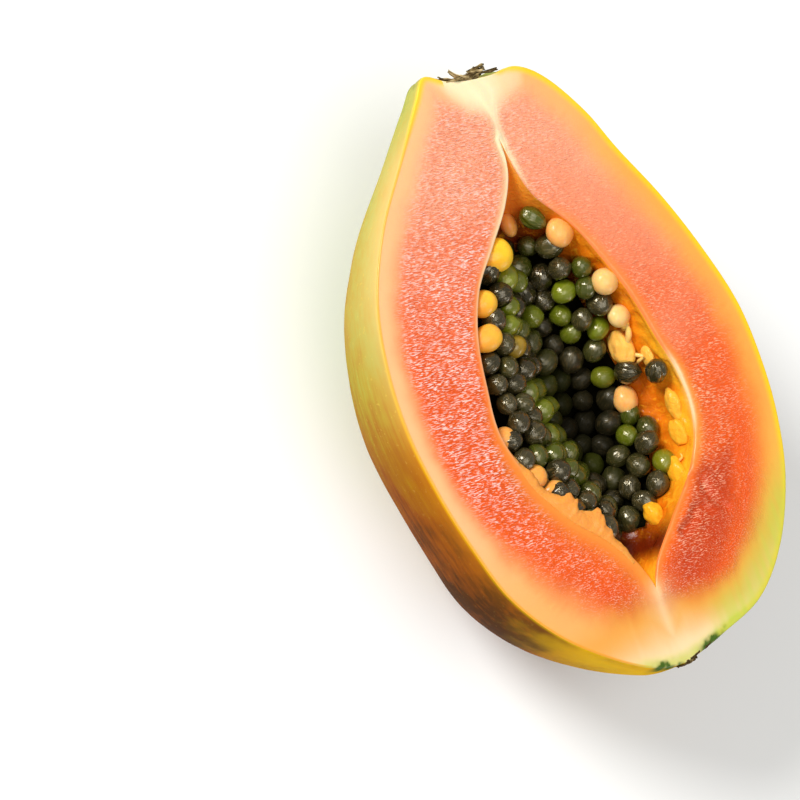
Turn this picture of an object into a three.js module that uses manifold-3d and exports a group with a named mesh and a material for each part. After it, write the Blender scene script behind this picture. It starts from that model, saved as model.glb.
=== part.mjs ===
// Half of a ripe papaya, cut lengthways and lying on its rind with the cut face up.
//
// Millimetres, +Z up. The shapes are worked out in the fruit's own frame: x across the cut
// face, y from the blossom end towards the stem end, and z = 0 on the cut face. The group at the
// end sets the half down so that the flat spot under its belly stands on z = 0 and the origin is
// under the middle of its bounding box.
//
// Each kind of grown matter is a mesh: the fruit itself (rind, flesh, the moist lining of the
// seed cavity and the pale seeds that never ripened, all one growth), the mass of ripe seeds,
// one ripe seed that lies apart, and the dry scars at the two ends.
import * as THREE from "three";
import { mergeVertices } from "three/addons/utils/BufferGeometryUtils.js";
import Module from "manifold-3d";

const wasm = await Module();
wasm.setup();

// ---------------------------------------------------------------- driving dimensions, in mm

// The cut face's outline as [x, y], from the stem pole to the blossom pole. Points of one number
// face each other across the fruit.
const OUTLINE_LEFT = [
  [0, 84.6], [-6, 86.2], [-12.3, 89], [-17.5, 83.2], [-28.3, 69.8], [-41, 54.3], [-50.3, 37.5], [-54.8, 20],
  [-56, 2], [-54, -16], [-50.3, -32.5], [-44.9, -48.9], [-34.5, -64], [-21, -76], [-9.5, -83], [0, -85],
];
const OUTLINE_RIGHT = [
  [0, 84.6], [8, 83.8], [17, 84], [25.2, 78.2], [33.5, 66], [39.3, 52.9], [47.5, 36.5], [54.2, 19],
  [59.1, 1], [59.9, -16], [58.2, -33], [53.3, -50], [43.5, -66.5], [30.5, -77.8], [14, -82.4], [0, -85],
];
// The seed cavity's rim on the cut face, as [x, y], and its depth at the same stations.
const RIM_LEFT = [
  [3.5, 66.3], [2.6, 57.5], [-2.5, 48.5], [-10.5, 39.8], [-19.5, 30], [-25.2, 18], [-28, 5],
  [-29.2, -8], [-25, -22], [-17.5, -35], [-8, -45.5], [-2.4, -55.5], [-1.1, -62.8],
];
const RIM_RIGHT = [
  [3.5, 66.3], [5.2, 57], [8, 48.5], [15.5, 38.5], [21.5, 26.5], [26, 14], [29, 0.5],
  [31.7, -12], [30.5, -25], [24, -36.5], [11.5, -48], [3, -56], [-1.1, -62.8],
];
const CAVITY_LENGTH = 129;
const CAVITY_DEPTH = [0, 5, 12, 19, 25, 29.5, 32, 33, 31, 26, 17, 8, 0];

const FLAT_SPOT_Z = -64.8; // the belly is flattened at this level, which makes the resting face
const BBOX_MIDDLE = [1.8, 1.7]; // x and y of the middle of the half's bounding box
const GAP = 0.35; // between meshes that touch
const LID = 14; // how far a cutter stands above the cut face

// Facets along the fruit and around it, and the same for the cavity.
const RIND_ROWS = 38;
const RIND_SIDES = 48;
const CAVITY_ROWS = 36;
const CAVITY_COLUMNS = 18;

// The surface of the seed heap at eight stations from FIRST_LEVEL to LAST_LEVEL of the cavity's
// length: along its left rim, down the middle and along its right rim.
const HEAP_LEFT = [-22, -6, -4.5, -4.5, -4.5, -3.5, -5, -20];
const HEAP_MIDDLE = [-23, -14.5, -17, -21, -24.5, -22, -15.5, -20];
const HEAP_RIGHT = [-21, -7, -8, -17, -18, -8, -11, -20];
const FIRST_LEVEL = 0.2;
const LAST_LEVEL = 0.9;
const HEAP_MIDDLE_PLACE = 0.3; // of the way from the cavity's middle to its right rim

const SEED_LONG = 3.8; // half the length of a ripe seed in its skin
const SEED_WIDE = 3.25; // half its width
const SEED_SPREAD = 0.13; // seeds are larger or smaller by up to this share
const SEED_DRAWS = 4000;
const SEED_CROWDING = 0.77; // two half-widths times this is as near as two seeds may be drawn
const SEED_CLEAR = 1.03; // and times this is how far they push each other apart
const SEED_ROUNDS = 60; // of pushing apart
const SEED_DEPTH = 1.8; // the lowest seeds' middles lie this far under the heap's surface
const SEED_RISE = 1.9; // and the highest ones' this far above the lowest
const CORE_BOTTOM = -50; // deeper than the cavity
const WALL_CLEAR = 1; // above the cavity's wall, for the lowest seeds' middles

// Pale seeds that grow from the cavity's wall: the station along the cavity from 0 at the stem
// end to 1 at the blossom end, the angle in degrees from the right rim under to the left one, how
// far the seed's middle stands off the wall, and half its length.
const PALE_SEEDS = [
  [0.207, 67, 1.5, 3.6], [0.271, 169, 3.5, 5.4], [0.359, 173, 3, 4.5], [0.42, 173, 3.8, 4.9],
  [0.26, 13, 2, 4.4], [0.378, 7, 2, 4.3], [0.445, 14, 1.8, 4], [0.497, 21, 2.2, 5],
  [0.597, 37, 2.8, 4.4], [0.593, 171, 2, 3.8], [0.667, 172, 2.2, 4], [0.7, 170, 3.8, 3.7],
  [0.735, 170, 3.4, 4.3], [0.775, 168, 3, 4.7], [0.75, 15, 2, 4.7], [0.807, 27, 2, 4.9],
  [0.625, 9, 1.5, 4.5], [0.681, 10, 1.4, 4.1],
];
const PALE_ROUND = 0.76; // a pale seed's width as a share of its length

// Ripe seeds that cling to the bare wall apart from the heap, each pointed at its blossom end.
const LONE_SEEDS = [
  { s: 0.213, degrees: 23, long: 4.3, wide: 2.7, slant: 7 },
  { s: 0.547, degrees: 26, long: 4.2, wide: 3.3, slant: 30 },
  { s: 0.563, degrees: 9, long: 4.1, wide: 2.9, slant: -8 },
];
const TEARDROP = [[0, -1], [0.58, -0.85], [0.93, -0.45], [1, -0.05], [0.84, 0.4], [0.5, 0.74], [0, 1]];

const FLAKE_THICKNESS = 0.8;
const STEM_SCAR = {
  x: 0, y: 84.8, outward: 1, radius: 7, height: 1.9, flakes: 9, reach: 10.5, curl: 2.8, seed: 11,
};
const BLOSSOM_SCAR = {
  x: 1.2, y: -84.6, outward: -1, radius: 3.2, height: 1.3, flakes: 6, reach: 5.2, curl: -0.6, seed: 5,
};

const COLOURS = { fruit: 0xf28a55, seeds: 0x2f3526, scar: 0x94805a, tip: 0x4a3423 };

// ---------------------------------------------------------------- small helpers

const { smoothstep, lerp, degToRad } = THREE.MathUtils;

/** Repeatable numbers from 0 to 1. */
function randomStream(seed) {
  let state = seed;
  return () => (state = (state * 16807) % 2147483647) / 2147483647;
}

/** count numbers evenly from one end to the other, both included. */
const spread = (from, to, count) =>
  Array.from({ length: count }, (_, i) => lerp(from, to, i / (count - 1)));

/** A smooth curve through the points, as a function of 0 to 1. */
function curveThrough(points) {
  const curve = new THREE.SplineCurve(points.map(([x, y]) => new THREE.Vector2(x, y)));
  return (s) => curve.getPoint(s);
}

/** The same for evenly spaced values. */
function valuesThrough(values) {
  const curve = curveThrough(values.map((value, i) => [i, value]));
  return (s) => curve(s).y;
}

/** A closed mesh as a solid that can be joined and cut. Faces that close up at a pole are left out. */
function solidOf(geometry) {
  const bare = new THREE.BufferGeometry().setAttribute("position", geometry.getAttribute("position"));
  bare.setIndex(geometry.index);
  const merged = mergeVertices(bare, 1e-4);
  const index = merged.index.array;
  const faces = [];
  for (let i = 0; i < index.length; i += 3) {
    const [a, b, c] = index.slice(i, i + 3);
    if (a !== b && b !== c && c !== a) faces.push(a, b, c);
  }
  return new wasm.Manifold(
    new wasm.Mesh({
      numProp: 3,
      vertProperties: new Float32Array(merged.attributes.position.array),
      triVerts: new Uint32Array(faces),
    }),
  );
}

/** A closed mesh from rings of points, each ring closed, with the first and last filled in. */
function loft(rings) {
  const count = rings[0].length;
  const last = rings.length - 1;
  const at = (i, j) => i * count + (j % count);
  const index = [];
  for (let i = 0; i < last; i++)
    for (let j = 0; j < count; j++)
      index.push(at(i, j), at(i + 1, j), at(i, j + 1), at(i, j + 1), at(i + 1, j), at(i + 1, j + 1));
  for (let j = 1; j < count - 1; j++) {
    index.push(at(0, 0), at(0, j), at(0, j + 1));
    index.push(at(last, 0), at(last, j + 1), at(last, j));
  }
  return new THREE.BufferGeometry()
    .setAttribute("position", new THREE.Float32BufferAttribute(rings.flat(2), 3))
    .setIndex(index);
}

/** A box whose underside or top lies at the level given. */
const boxAbove = (z) => solidOf(new THREE.BoxGeometry(300, 300, 100).translate(0, 0, z + 50));
const boxBelow = (z) => solidOf(new THREE.BoxGeometry(300, 300, 100).translate(0, 0, z - 50));

/** The solid without the crumbs that a cut leaves loose. */
const largest = (solid) => solid.decompose().sort((a, b) => b.volume() - a.volume())[0];

/** The geometry with its z axis turned along a direction, and moved to a point. */
function standing(geometry, point, direction) {
  const turn = new THREE.Quaternion().setFromUnitVectors(new THREE.Vector3(0, 0, 1), direction);
  return solidOf(geometry.applyQuaternion(turn).translate(...point));
}

// ---------------------------------------------------------------- the rind

const left = curveThrough(OUTLINE_LEFT);
const right = curveThrough(OUTLINE_RIGHT);

/** How much deeper the half is than half its width, along its length. */
const depthShare = (s) => 1.06 + 0.07 * smoothstep(s, 0.15, 0.55) + 0.11 * smoothstep(s, 0.6, 0.9);

/** How far the flanks swell out below the cut face, because the knife passed off centre. */
const leftSwell = (s) => 0.09 + 0.03 * smoothstep(s, 0.15, 0.6) + 0.165 * smoothstep(s, 0.6, 0.85);
const RIGHT_SWELL = 0.05;

/** How far the belly reaches past the cut face towards the blossom end. */
const bellyReach = (s) => 2.7 * smoothstep(s, 0.6, 0.85) * (1 - smoothstep(s, 0.93, 1));

/** The soft ridges of the five lobes, strongest at the ends and faint over the belly. */
function lobes(s, phi) {
  const height = 0.006 + 0.02 * (1 - smoothstep(s, 0.05, 0.45) + smoothstep(s, 0.7, 0.95));
  return 1 + height * Math.sin(5 * phi) * Math.sin(phi);
}

/** A point on the rind: s runs from stem to blossom, phi from the right edge under to the left. */
function rindPoint(s, phi, outset) {
  const [across, down] = [Math.cos(phi), Math.sin(phi)];
  const [l, r] = [left(s), right(s)];
  const edge = across > 0 ? r : l;
  const swell = 1 + (across > 0 ? RIGHT_SWELL : leftSwell(s)) * Math.abs(down);
  const middleY = (l.y + r.y) / 2;
  const depth = ((r.x - l.x) / 2) * depthShare(s);
  const grow = 1 + outset / 60;
  return [
    edge.x * Math.abs(across) * swell * lobes(s, phi) * grow,
    (middleY + (edge.y - middleY) * across * across - bellyReach(s) * Math.abs(down)) * grow,
    -depth * down * lobes(s, phi) * grow,
  ];
}

/** The uncut fruit, with no cavity. */
function wholeFruit(outset = 0) {
  const turns = spread(0, 2 * Math.PI, RIND_SIDES + 1).slice(0, -1);
  return solidOf(loft(spread(0, 1, RIND_ROWS).map((s) => turns.map((phi) => rindPoint(s, phi, outset)))));
}

// ---------------------------------------------------------------- the cavity

const rimLeft = curveThrough(RIM_LEFT);
const rimRight = curveThrough(RIM_RIGHT);
const cavityDepth = valuesThrough(CAVITY_DEPTH);

/** Lumps and folds of the cavity's moist lining, as a height above its smooth form. */
function liningRelief(s, u) {
  const band = smoothstep(s, 0.2, 0.34) * (1 - smoothstep(s, 0.82, 0.92));
  const lumps = Math.sin(41 * s + 3.2 * u) * Math.sin(7.5 * u + 23 * s);
  const folds = 0.6 * Math.sin(67 * s - 11 * u);
  return 0.7 * band * (lumps + folds);
}

/** The level of the cavity's wall at a station s and a place u across it, from -1 to 1. */
function wallLevel(s, u) {
  const round = Math.sqrt(Math.max(0, 1 - u * u));
  const corners = 1 + 0.05 * Math.cos(5 * Math.acos(u)) * round;
  return (liningRelief(s, u) - cavityDepth(s) * corners) * round;
}

/** x and y at a station and a place across, drawn in from the rims by the inset. */
function planPoint(s, u, inset = 0) {
  const [l, r] = [rimLeft(s), rimRight(s)];
  const share = (u + 1) / 2;
  return [lerp(l.x, r.x, share) - u * Math.min(inset, 0.4 * (r.x - l.x)), lerp(l.y, r.y, share)];
}

/** The cavity as a body to cut away or to fill, open upwards to the lid. */
function cavitySolid(inset = 0) {
  const rings = spread(0, 1, CAVITY_ROWS).map((s) => {
    const ring = spread(0, Math.PI, CAVITY_COLUMNS).map((phi) => {
      const u = Math.cos(phi);
      return [...planPoint(s, u, inset), Math.min(0, wallLevel(s, u) + inset)];
    });
    const [[rightX, rightY], [leftX, leftY]] = [ring[0], ring.at(-1)];
    return [[rightX, rightY, LID], ...ring, [leftX, leftY, LID]];
  });
  return solidOf(loft(rings));
}

/** A point that stands off the cavity's wall, and the wall's direction there. */
function offWall(s, degrees, stand) {
  const [across, down] = [Math.cos(degToRad(degrees)), Math.sin(degToRad(degrees))];
  const halfWidth = (rimRight(s).x - rimLeft(s).x) / 2;
  const inwards = new THREE.Vector3(-across / halfWidth, 0, down / cavityDepth(s)).normalize();
  const point = new THREE.Vector3(...planPoint(s, across), wallLevel(s, across));
  return { point: point.addScaledVector(inwards, stand), inwards };
}

/** Every pale seed, standing on its wall. */
function paleSeeds(outset = 0) {
  return wasm.Manifold.union(
    PALE_SEEDS.map(([s, degrees, stand, long]) => {
      const { point, inwards } = offWall(s, degrees, stand);
      const wide = long * PALE_ROUND + outset;
      const geometry = new THREE.IcosahedronGeometry(1, 1).scale(wide, wide, long + outset);
      return standing(geometry, point, inwards);
    }),
  );
}

// ---------------------------------------------------------------- the ripe seeds

const heapLeft = valuesThrough(HEAP_LEFT);
const heapMiddle = valuesThrough(HEAP_MIDDLE);
const heapRight = valuesThrough(HEAP_RIGHT);

/** The level of the seed heap's surface. */
function heapLevel(s, u) {
  const along = Math.max(0, Math.min(1, (s - FIRST_LEVEL) / (LAST_LEVEL - FIRST_LEVEL)));
  const rim = u < HEAP_MIDDLE_PLACE ? heapLeft(along) : heapRight(along);
  const towardsRim = smoothstep(Math.abs(u - HEAP_MIDDLE_PLACE), 0, u < HEAP_MIDDLE_PLACE ? 1.2 : 0.55);
  return lerp(heapMiddle(along), rim, towardsRim);
}

/** Whether the heap covers the cavity's wall at a station and a place across. */
function inHeap(s, u) {
  if (s < 0.2 || s > 0.9 || Math.abs(u) > 1) return false;
  return heapLevel(s, u) - SEED_DEPTH > wallLevel(s, u) + WALL_CLEAR;
}

/** Where the middle of a seed lies. */
function seedPoint({ s, u, lift }) {
  const [x, y] = planPoint(s, u, SEED_WIDE);
  return new THREE.Vector3(x, y, heapLevel(s, u) - SEED_DEPTH + lift);
}

/** Moves a seed by a step in mm, unless that takes it off the heap. */
function pushSeed(seed, step) {
  const [l, r] = [rimLeft(seed.s), rimRight(seed.s)];
  const s = seed.s - step.y / CAVITY_LENGTH;
  const u = seed.u + (2 * step.x) / (r.x - l.x);
  if (inHeap(s, u)) Object.assign(seed, { s, u });
  seed.lift = Math.max(0, Math.min(SEED_RISE, seed.lift + step.z));
}

/** Ripe seeds drawn at random over the heap, then pushed apart until each has its room. */
function heapedSeeds() {
  const random = randomStream(20261);
  const seeds = [];
  const apart = (a, b) => seedPoint(a).distanceTo(seedPoint(b)) / (SEED_WIDE * (a.size + b.size));
  for (let i = 0; i < SEED_DRAWS; i++) {
    const seed = { s: lerp(0.2, 0.9, random()), u: lerp(-1, 1, random()), lift: SEED_RISE * random() };
    seed.size = 1 + SEED_SPREAD * (2 * random() - 1);
    seed.axis = new THREE.Vector3(random() - 0.5, random() - 0.5, random() - 0.5).normalize();
    const hasRoom = () => seeds.every((other) => apart(seed, other) > SEED_CROWDING);
    if (inHeap(seed.s, seed.u) && hasRoom()) seeds.push(seed);
  }
  for (let round = 0; round < SEED_ROUNDS; round++)
    seeds.forEach((a, i) =>
      seeds.slice(i + 1).forEach((b) => {
        const step = seedPoint(a).sub(seedPoint(b));
        const short = SEED_CLEAR * SEED_WIDE * (a.size + b.size) - step.length();
        if (short <= 0) return;
        step.setLength(short / 2);
        pushSeed(a, step);
        pushSeed(b, step.negate());
      }),
    );
  return seeds;
}

/** The dark pulp that fills the cavity under the seeds. */
function heapCore() {
  const rings = spread(0.16, 0.94, 22).map((s) => {
    const top = spread(-1, 1, 9).map((u) => seedPoint({ s, u, lift: 0 }).toArray());
    const [left, right] = [planPoint(s, -1, -2), planPoint(s, 1, -2)];
    const sides = [[...right, top.at(-1)[2]], [...right, CORE_BOTTOM], [...left, CORE_BOTTOM]];
    return [[...left, top[0][2]], ...top, ...sides];
  });
  return solidOf(loft(rings));
}

/** The heap as one body, clear of the cavity's wall and of the pale seeds on it. */
function seedHeap() {
  const balls = heapedSeeds().map((seed) => {
    const [wide, long] = [SEED_WIDE * seed.size, SEED_LONG * seed.size];
    const geometry = new THREE.IcosahedronGeometry(1, 0).scale(wide, wide, long);
    return standing(geometry, seedPoint(seed), seed.axis);
  });
  const others = [paleSeeds(GAP), ...LONE_SEEDS.map((seed) => loneSeed(seed, GAP))];
  const heap = wasm.Manifold.union([heapCore(), ...balls])
    .intersect(cavitySolid(GAP))
    .subtract(wasm.Manifold.union(others));
  return largest(heap);
}

/** A seed that lies apart, flat on the wall and clear of it. */
function loneSeed({ s, degrees, long, wide, slant }, outset = 0) {
  const { point } = offWall(s, degrees, wide + 2 * GAP);
  const [from, to] = [offWall(s - 0.03, degrees + slant, 0), offWall(s + 0.03, degrees - slant, 0)];
  const [across, along] = [wide + outset, long + outset];
  const profile = TEARDROP.map(([radius, height]) => new THREE.Vector2(radius * across, height * along));
  const geometry = new THREE.LatheGeometry(profile, 9).rotateX(Math.PI / 2);
  return standing(geometry, point, to.point.sub(from.point).normalize());
}

// ---------------------------------------------------------------- the scars

/** A dry flake that starts at the pole and curls up as it lies outwards, narrowing to its end. */
function flake({ x, y, outward }, heading, reach, width, lift, curl) {
  const [outX, outZ] = [Math.cos(heading), -Math.sin(heading)];
  const rings = spread(0, 1, 5).map((t) => {
    const half = (width / 2) * (1 - 0.85 * t * t) * (1 + 0.3 * Math.sin(8 * t + heading));
    const rise = lift + curl * t * t;
    const corner = (side, height) => [
      x + outX * reach * t + outZ * half * side,
      y + outward * (rise + height + 0.25 * side * Math.sin(7 * t)),
      outZ * reach * t - outX * half * side,
    ];
    return [corner(-1, 0), corner(1, 0), corner(1, FLAKE_THICKNESS), corner(-1, FLAKE_THICKNESS)];
  });
  return solidOf(loft(outward > 0 ? rings.map((ring) => ring.reverse()) : rings));
}

/** A round scar on a pole of the fruit: a corky pad that the knife cut through, and its flakes. */
function scarSolid(scar) {
  const { x, y, radius, height, flakes, reach, curl, seed } = scar;
  const random = randomStream(seed);
  const ball = new THREE.SphereGeometry(1, 20, 10);
  const pad = solidOf(ball.scale(radius, height, radius).translate(x, y, 0));
  const parts = spread(0.04, 0.96, flakes).map((turn) => {
    const length = reach * lerp(0.6, 1, random());
    const width = radius * lerp(0.38, 0.6, random());
    return flake(scar, Math.PI * turn, length, width, height * 0.45, curl * lerp(0.4, 1.3, random()));
  });
  return largest(pad.subtract(boxAbove(0)).add(wasm.Manifold.union(parts)).subtract(wholeFruit(GAP)));
}

// ---------------------------------------------------------------- the meshes

function halfFruit() {
  const half = wholeFruit().subtract(boxAbove(0)).subtract(cavitySolid());
  return half.add(paleSeeds().subtract(boxAbove(0))).subtract(boxBelow(FLAT_SPOT_Z));
}

function meshOf(name, solid, color, roughness) {
  const { vertProperties, triVerts } = solid.getMesh();
  const geometry = new THREE.BufferGeometry()
    .setAttribute("position", new THREE.BufferAttribute(new Float32Array(vertProperties), 3))
    .setIndex(new THREE.BufferAttribute(new Uint32Array(triVerts), 1));
  const material = new THREE.MeshStandardMaterial({ color, roughness, metalness: 0 });
  const mesh = new THREE.Mesh(geometry, material);
  mesh.name = name;
  return mesh;
}

const papaya = new THREE.Group();
papaya.name = "papaya";
papaya.add(meshOf("half_fruit", halfFruit(), COLOURS.fruit, 0.45));
papaya.add(meshOf("seeds", seedHeap(), COLOURS.seeds, 0.25));
LONE_SEEDS.forEach((seed, i) => {
  papaya.add(meshOf(`lone_seed_${i + 1}`, loneSeed(seed), COLOURS.seeds, 0.25));
});
papaya.add(meshOf("stem_scar", scarSolid(STEM_SCAR), COLOURS.scar, 0.9));
papaya.add(meshOf("blossom_scar", scarSolid(BLOSSOM_SCAR), COLOURS.tip, 0.9));
papaya.position.set(-BBOX_MIDDLE[0], -BBOX_MIDDLE[1], -FLAT_SPOT_Z);

export default papaya;
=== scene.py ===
"""Half of a ripe papaya, dressed around its CAD frame.

Shapes are worked out in millimetres in the fruit's own frame: x across the cut face, y from the
blossom end towards the stem end, and z = 0 on the cut face. in_place() moves them into the row
frame, in metres, so each piece's object stays at the origin.
"""

import math
from types import SimpleNamespace

import bmesh
import bpy
import numpy as np
from mathutils import Matrix, Vector
from mathutils.kdtree import KDTree


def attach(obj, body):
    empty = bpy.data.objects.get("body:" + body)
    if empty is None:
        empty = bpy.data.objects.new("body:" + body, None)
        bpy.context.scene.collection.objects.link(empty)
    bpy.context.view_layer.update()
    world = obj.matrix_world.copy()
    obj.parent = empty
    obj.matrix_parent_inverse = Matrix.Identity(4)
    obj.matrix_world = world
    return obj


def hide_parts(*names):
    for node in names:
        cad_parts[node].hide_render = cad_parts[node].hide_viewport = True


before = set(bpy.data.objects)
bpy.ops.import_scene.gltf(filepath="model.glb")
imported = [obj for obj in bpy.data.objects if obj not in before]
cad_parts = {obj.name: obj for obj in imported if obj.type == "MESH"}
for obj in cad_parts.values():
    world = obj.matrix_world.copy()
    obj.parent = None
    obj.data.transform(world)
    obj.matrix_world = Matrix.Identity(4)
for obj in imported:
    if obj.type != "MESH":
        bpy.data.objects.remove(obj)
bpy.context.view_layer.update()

bl_info = {
    "name": "Papaya half",
    "version": (1, 0, 0),
    "blender": (4, 5, 0),
    "location": "3D View > Sidebar > Papaya",
    "description": "Dresses the frame of a cut papaya in its rind, flesh, pulp, seeds and scars",
    "category": "Object",
}

# ---------------------------------------------------------------- the fruit's own sizes, in mm

TO_MM = 1000.0
FRUIT_TO_ROW = (-1.8, -1.7, 64.8)

# The cut face's outline on each side and the hollow's rim, from the stem end to the blossom end.
OUTLINE_LEFT = [
    (0, 84.6), (-6, 86.2), (-12.3, 89), (-17.5, 83.2), (-28.3, 69.8), (-41, 54.3), (-50.3, 37.5),
    (-54.8, 20), (-56, 2), (-54, -16), (-50.3, -32.5), (-44.9, -48.9), (-34.5, -64), (-21, -76),
    (-9.5, -83), (0, -85),
]
OUTLINE_RIGHT = [
    (0, 84.6), (8, 83.8), (17, 84), (25.2, 78.2), (33.5, 66), (39.3, 52.9), (47.5, 36.5),
    (54.2, 19), (59.1, 1), (59.9, -16), (58.2, -33), (53.3, -50), (43.5, -66.5), (30.5, -77.8),
    (14, -82.4), (0, -85),
]
RIM_LEFT = [
    (3.5, 66.3), (2.6, 57.5), (-2.5, 48.5), (-10.5, 39.8), (-19.5, 30), (-25.2, 18), (-28, 5),
    (-29.2, -8), (-25, -22), (-17.5, -35), (-8, -45.5), (-2.4, -55.5), (-1.1, -62.8),
]
RIM_RIGHT = [
    (3.5, 66.3), (5.2, 57), (8, 48.5), (15.5, 38.5), (21.5, 26.5), (26, 14), (29, 0.5),
    (31.7, -12), (30.5, -25), (24, -36.5), (11.5, -48), (3, -56), (-1.1, -62.8),
]
CAVITY_LENGTH = 129
# How deep the hollow is at even steps along it.
CAVITY_DEPTH = [0, 5, 12, 19, 25, 29.5, 32, 33, 31, 26, 17, 8, 0]
FLAT_SPOT_Z = -64.8
RIGHT_SWELL = 0.05  # of half the width, how far the right flank swells out below the cut face

# Seams of the carpels on the cut face, from the stem scar to the hollow and on to the blossom end.
STEM_SEAM = [(2.6, 84.4), (5.3, 80.2), (5.3, 76), (5.2, 71.6), (5, 67.3), (4.5, 63.1), (3.9, 59.5)]
BLOSSOM_SEAM = [(-1.1, -62.8), (-1.3, -66.3), (-1.5, -69.7), (-1.5, -74.4), (-1.1, -78.1), (-0.6, -83.5)]
# Where the red flesh ends towards the blossom end, as y for x from the left edge to the right one.
BLOSSOM_BORDER = [-57, -68, -68.5, -67.5, -68, -70.5, -71.5, -68, -62, -54]
BORDER_FROM, BORDER_TO = -45, 50

# The surface of the seed heap at eight stations from FIRST_LEVEL to LAST_LEVEL of the hollow's
# length: along its left rim, down the middle and along its right rim.
HEAP_LEFT = [-22, -6, -4.5, -4.5, -4.5, -3.5, -5, -20]
HEAP_MIDDLE = [-23, -14.5, -17, -21, -24.5, -22, -15.5, -20]
HEAP_RIGHT = [-21, -7, -8, -17, -18, -8, -11, -20]
FIRST_LEVEL = 0.2
LAST_LEVEL = 0.9
HEAP_MIDDLE_PLACE = 0.3  # of the way from the hollow's middle to its right rim
HEAP_LEFT_REACH = 1.2  # from there to the left rim's level, in halves of the hollow's width
HEAP_RIGHT_REACH = 0.55  # and to the right rim's
SEED_LONG = 3.8  # half the length of a ripe seed in its skin
SEED_WIDE = 3.25  # half its width
SEED_SPREAD = 0.13  # seeds are larger or smaller by up to this share
SEED_DRAWS = 4000
SEED_CROWDING = 0.77  # two half widths times this is as near as two seeds may be drawn
SEED_CLEAR = 1.03  # and times this is how far they push each other apart
SEED_ROUNDS = 60  # of pushing apart
SEED_DEPTH = 1.8  # the lowest seeds' middles lie this far under the heap's surface
SEED_RISE = 1.9  # and the highest ones' this far above the lowest
WALL_CLEAR = 1  # above the hollow's wall, for the lowest seeds' middles
GAP = 0.35  # between solids that touch; a lone seed stands two of these off the wall

# Pale seeds: station, degrees round from the right rim, stand off the wall, half length, and how
# far from yellow (0) over orange (0.5) to cream (1).
PALE_SEEDS = [
    (0.207, 67, 1.5, 3.6, 0.55), (0.271, 169, 3.5, 5.4, 0.0), (0.359, 173, 3, 4.5, 0.18),
    (0.42, 173, 3.8, 4.9, 0.25), (0.26, 13, 2, 4.4, 0.62), (0.378, 7, 2, 4.3, 0.85),
    (0.445, 14, 1.8, 4, 0.95), (0.497, 21, 2.2, 5, 0.8), (0.597, 37, 2.8, 4.4, 0.7),
    (0.593, 171, 2, 3.8, 0.55), (0.667, 172, 2.2, 4, 0.5), (0.7, 170, 3.8, 3.7, 0.45),
    (0.735, 170, 3.4, 4.3, 0.6), (0.775, 168, 3, 4.7, 0.65), (0.75, 15, 2, 4.7, 0.3),
    (0.807, 27, 2, 4.9, 0.35), (0.625, 9, 1.5, 4.5, 0.45), (0.681, 10, 1.4, 4.1, 0.5),
]
PALE_ROUND = 0.76  # a pale seed's width as a share of its length

# Ripe seeds on the bare wall: half lengths and half widths, how far each is turned, and how green.
LONE_SEEDS = [
    {"s": 0.213, "degrees": 23, "long": 4.3, "wide": 2.7, "slant": 7, "green": 0.62},
    {"s": 0.547, "degrees": 26, "long": 4.2, "wide": 3.3, "slant": 30, "green": 0.12},
    {"s": 0.563, "degrees": 9, "long": 4.1, "wide": 2.9, "slant": -8, "green": 0.2},
]
# The outline of a pointed seed: its radius and its height at even steps from the blunt end.
TEARDROP = [(0, -1), (0.58, -0.85), (0.93, -0.45), (1, -0.05), (0.84, 0.4), (0.5, 0.74), (0, 1)]

STEM_SCAR_AT = (0, 84.8)
BLOSSOM_SCAR_AT = (1.2, -84.6)


# ---------------------------------------------------------------- numbers and curves

def clamp(x, low=0.0, high=1.0):
    """Keeps a number, or each number of an array, between two limits."""
    return min(max(x, low), high) if isinstance(x, (int, float)) else np.clip(x, low, high)


def smoothstep(x, low, high):
    t = clamp((x - low) / (high - low))
    return t * t * (3 - 2 * t)


def lerp(a, b, t):
    return (1 - t) * a + t * b


def bell(distance, width):
    """From 1 where the distance is 0 down to 0 well past the width."""
    return np.exp(-((distance / width) ** 2))


def curve_through(values):
    """A smooth curve through evenly spaced values, as a function of 0 to 1, for numbers or arrays."""
    values = [float(v) for v in values]
    table = np.array(values)
    last = len(values) - 1

    def at(t):
        if isinstance(t, (int, float)):
            i = min(max(math.floor(last * t), 0), last)
            p0, p1 = values[max(i - 1, 0)], values[i]
            p2, p3 = values[min(i + 1, last)], values[min(i + 2, last)]
        else:
            i = np.clip(np.floor(last * t).astype(int), 0, last)
            p0, p1 = table[np.maximum(i - 1, 0)], table[i]
            p2, p3 = table[np.minimum(i + 1, last)], table[np.minimum(i + 2, last)]
        w = last * t - i
        v0, v1 = (p2 - p0) * 0.5, (p3 - p1) * 0.5
        cubic = (2 * p1 - 2 * p2 + v0 + v1) * w * w * w
        return cubic + (-3 * p1 + 3 * p2 - 2 * v0 - v1) * w * w + v0 * w + p1

    return at


def line_through(points):
    """The same through points, giving x and y."""
    xs, ys = (curve_through(column) for column in zip(*points))
    return lambda t: (xs(t), ys(t))


def random_stream(seed):
    """Repeatable numbers from 0 to 1."""
    state = seed
    while True:
        state = (state * 16807) % 2147483647
        yield state / 2147483647


def hashed(ix, iy, iz, seed):
    """A repeatable number from -1 to 1 for each whole-numbered place."""
    n = (ix * 374761393 + iy * 668265263 + iz * 1440662683 + seed * 974634777) & 0xFFFFFFFF
    n = ((n ^ (n >> 13)) * 1274126177) & 0xFFFFFFFF
    n = ((n ^ (n >> 16)) * 1911520717) & 0xFFFFFFFF
    return (n ^ (n >> 15)) / 2147483648.0 - 1


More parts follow.
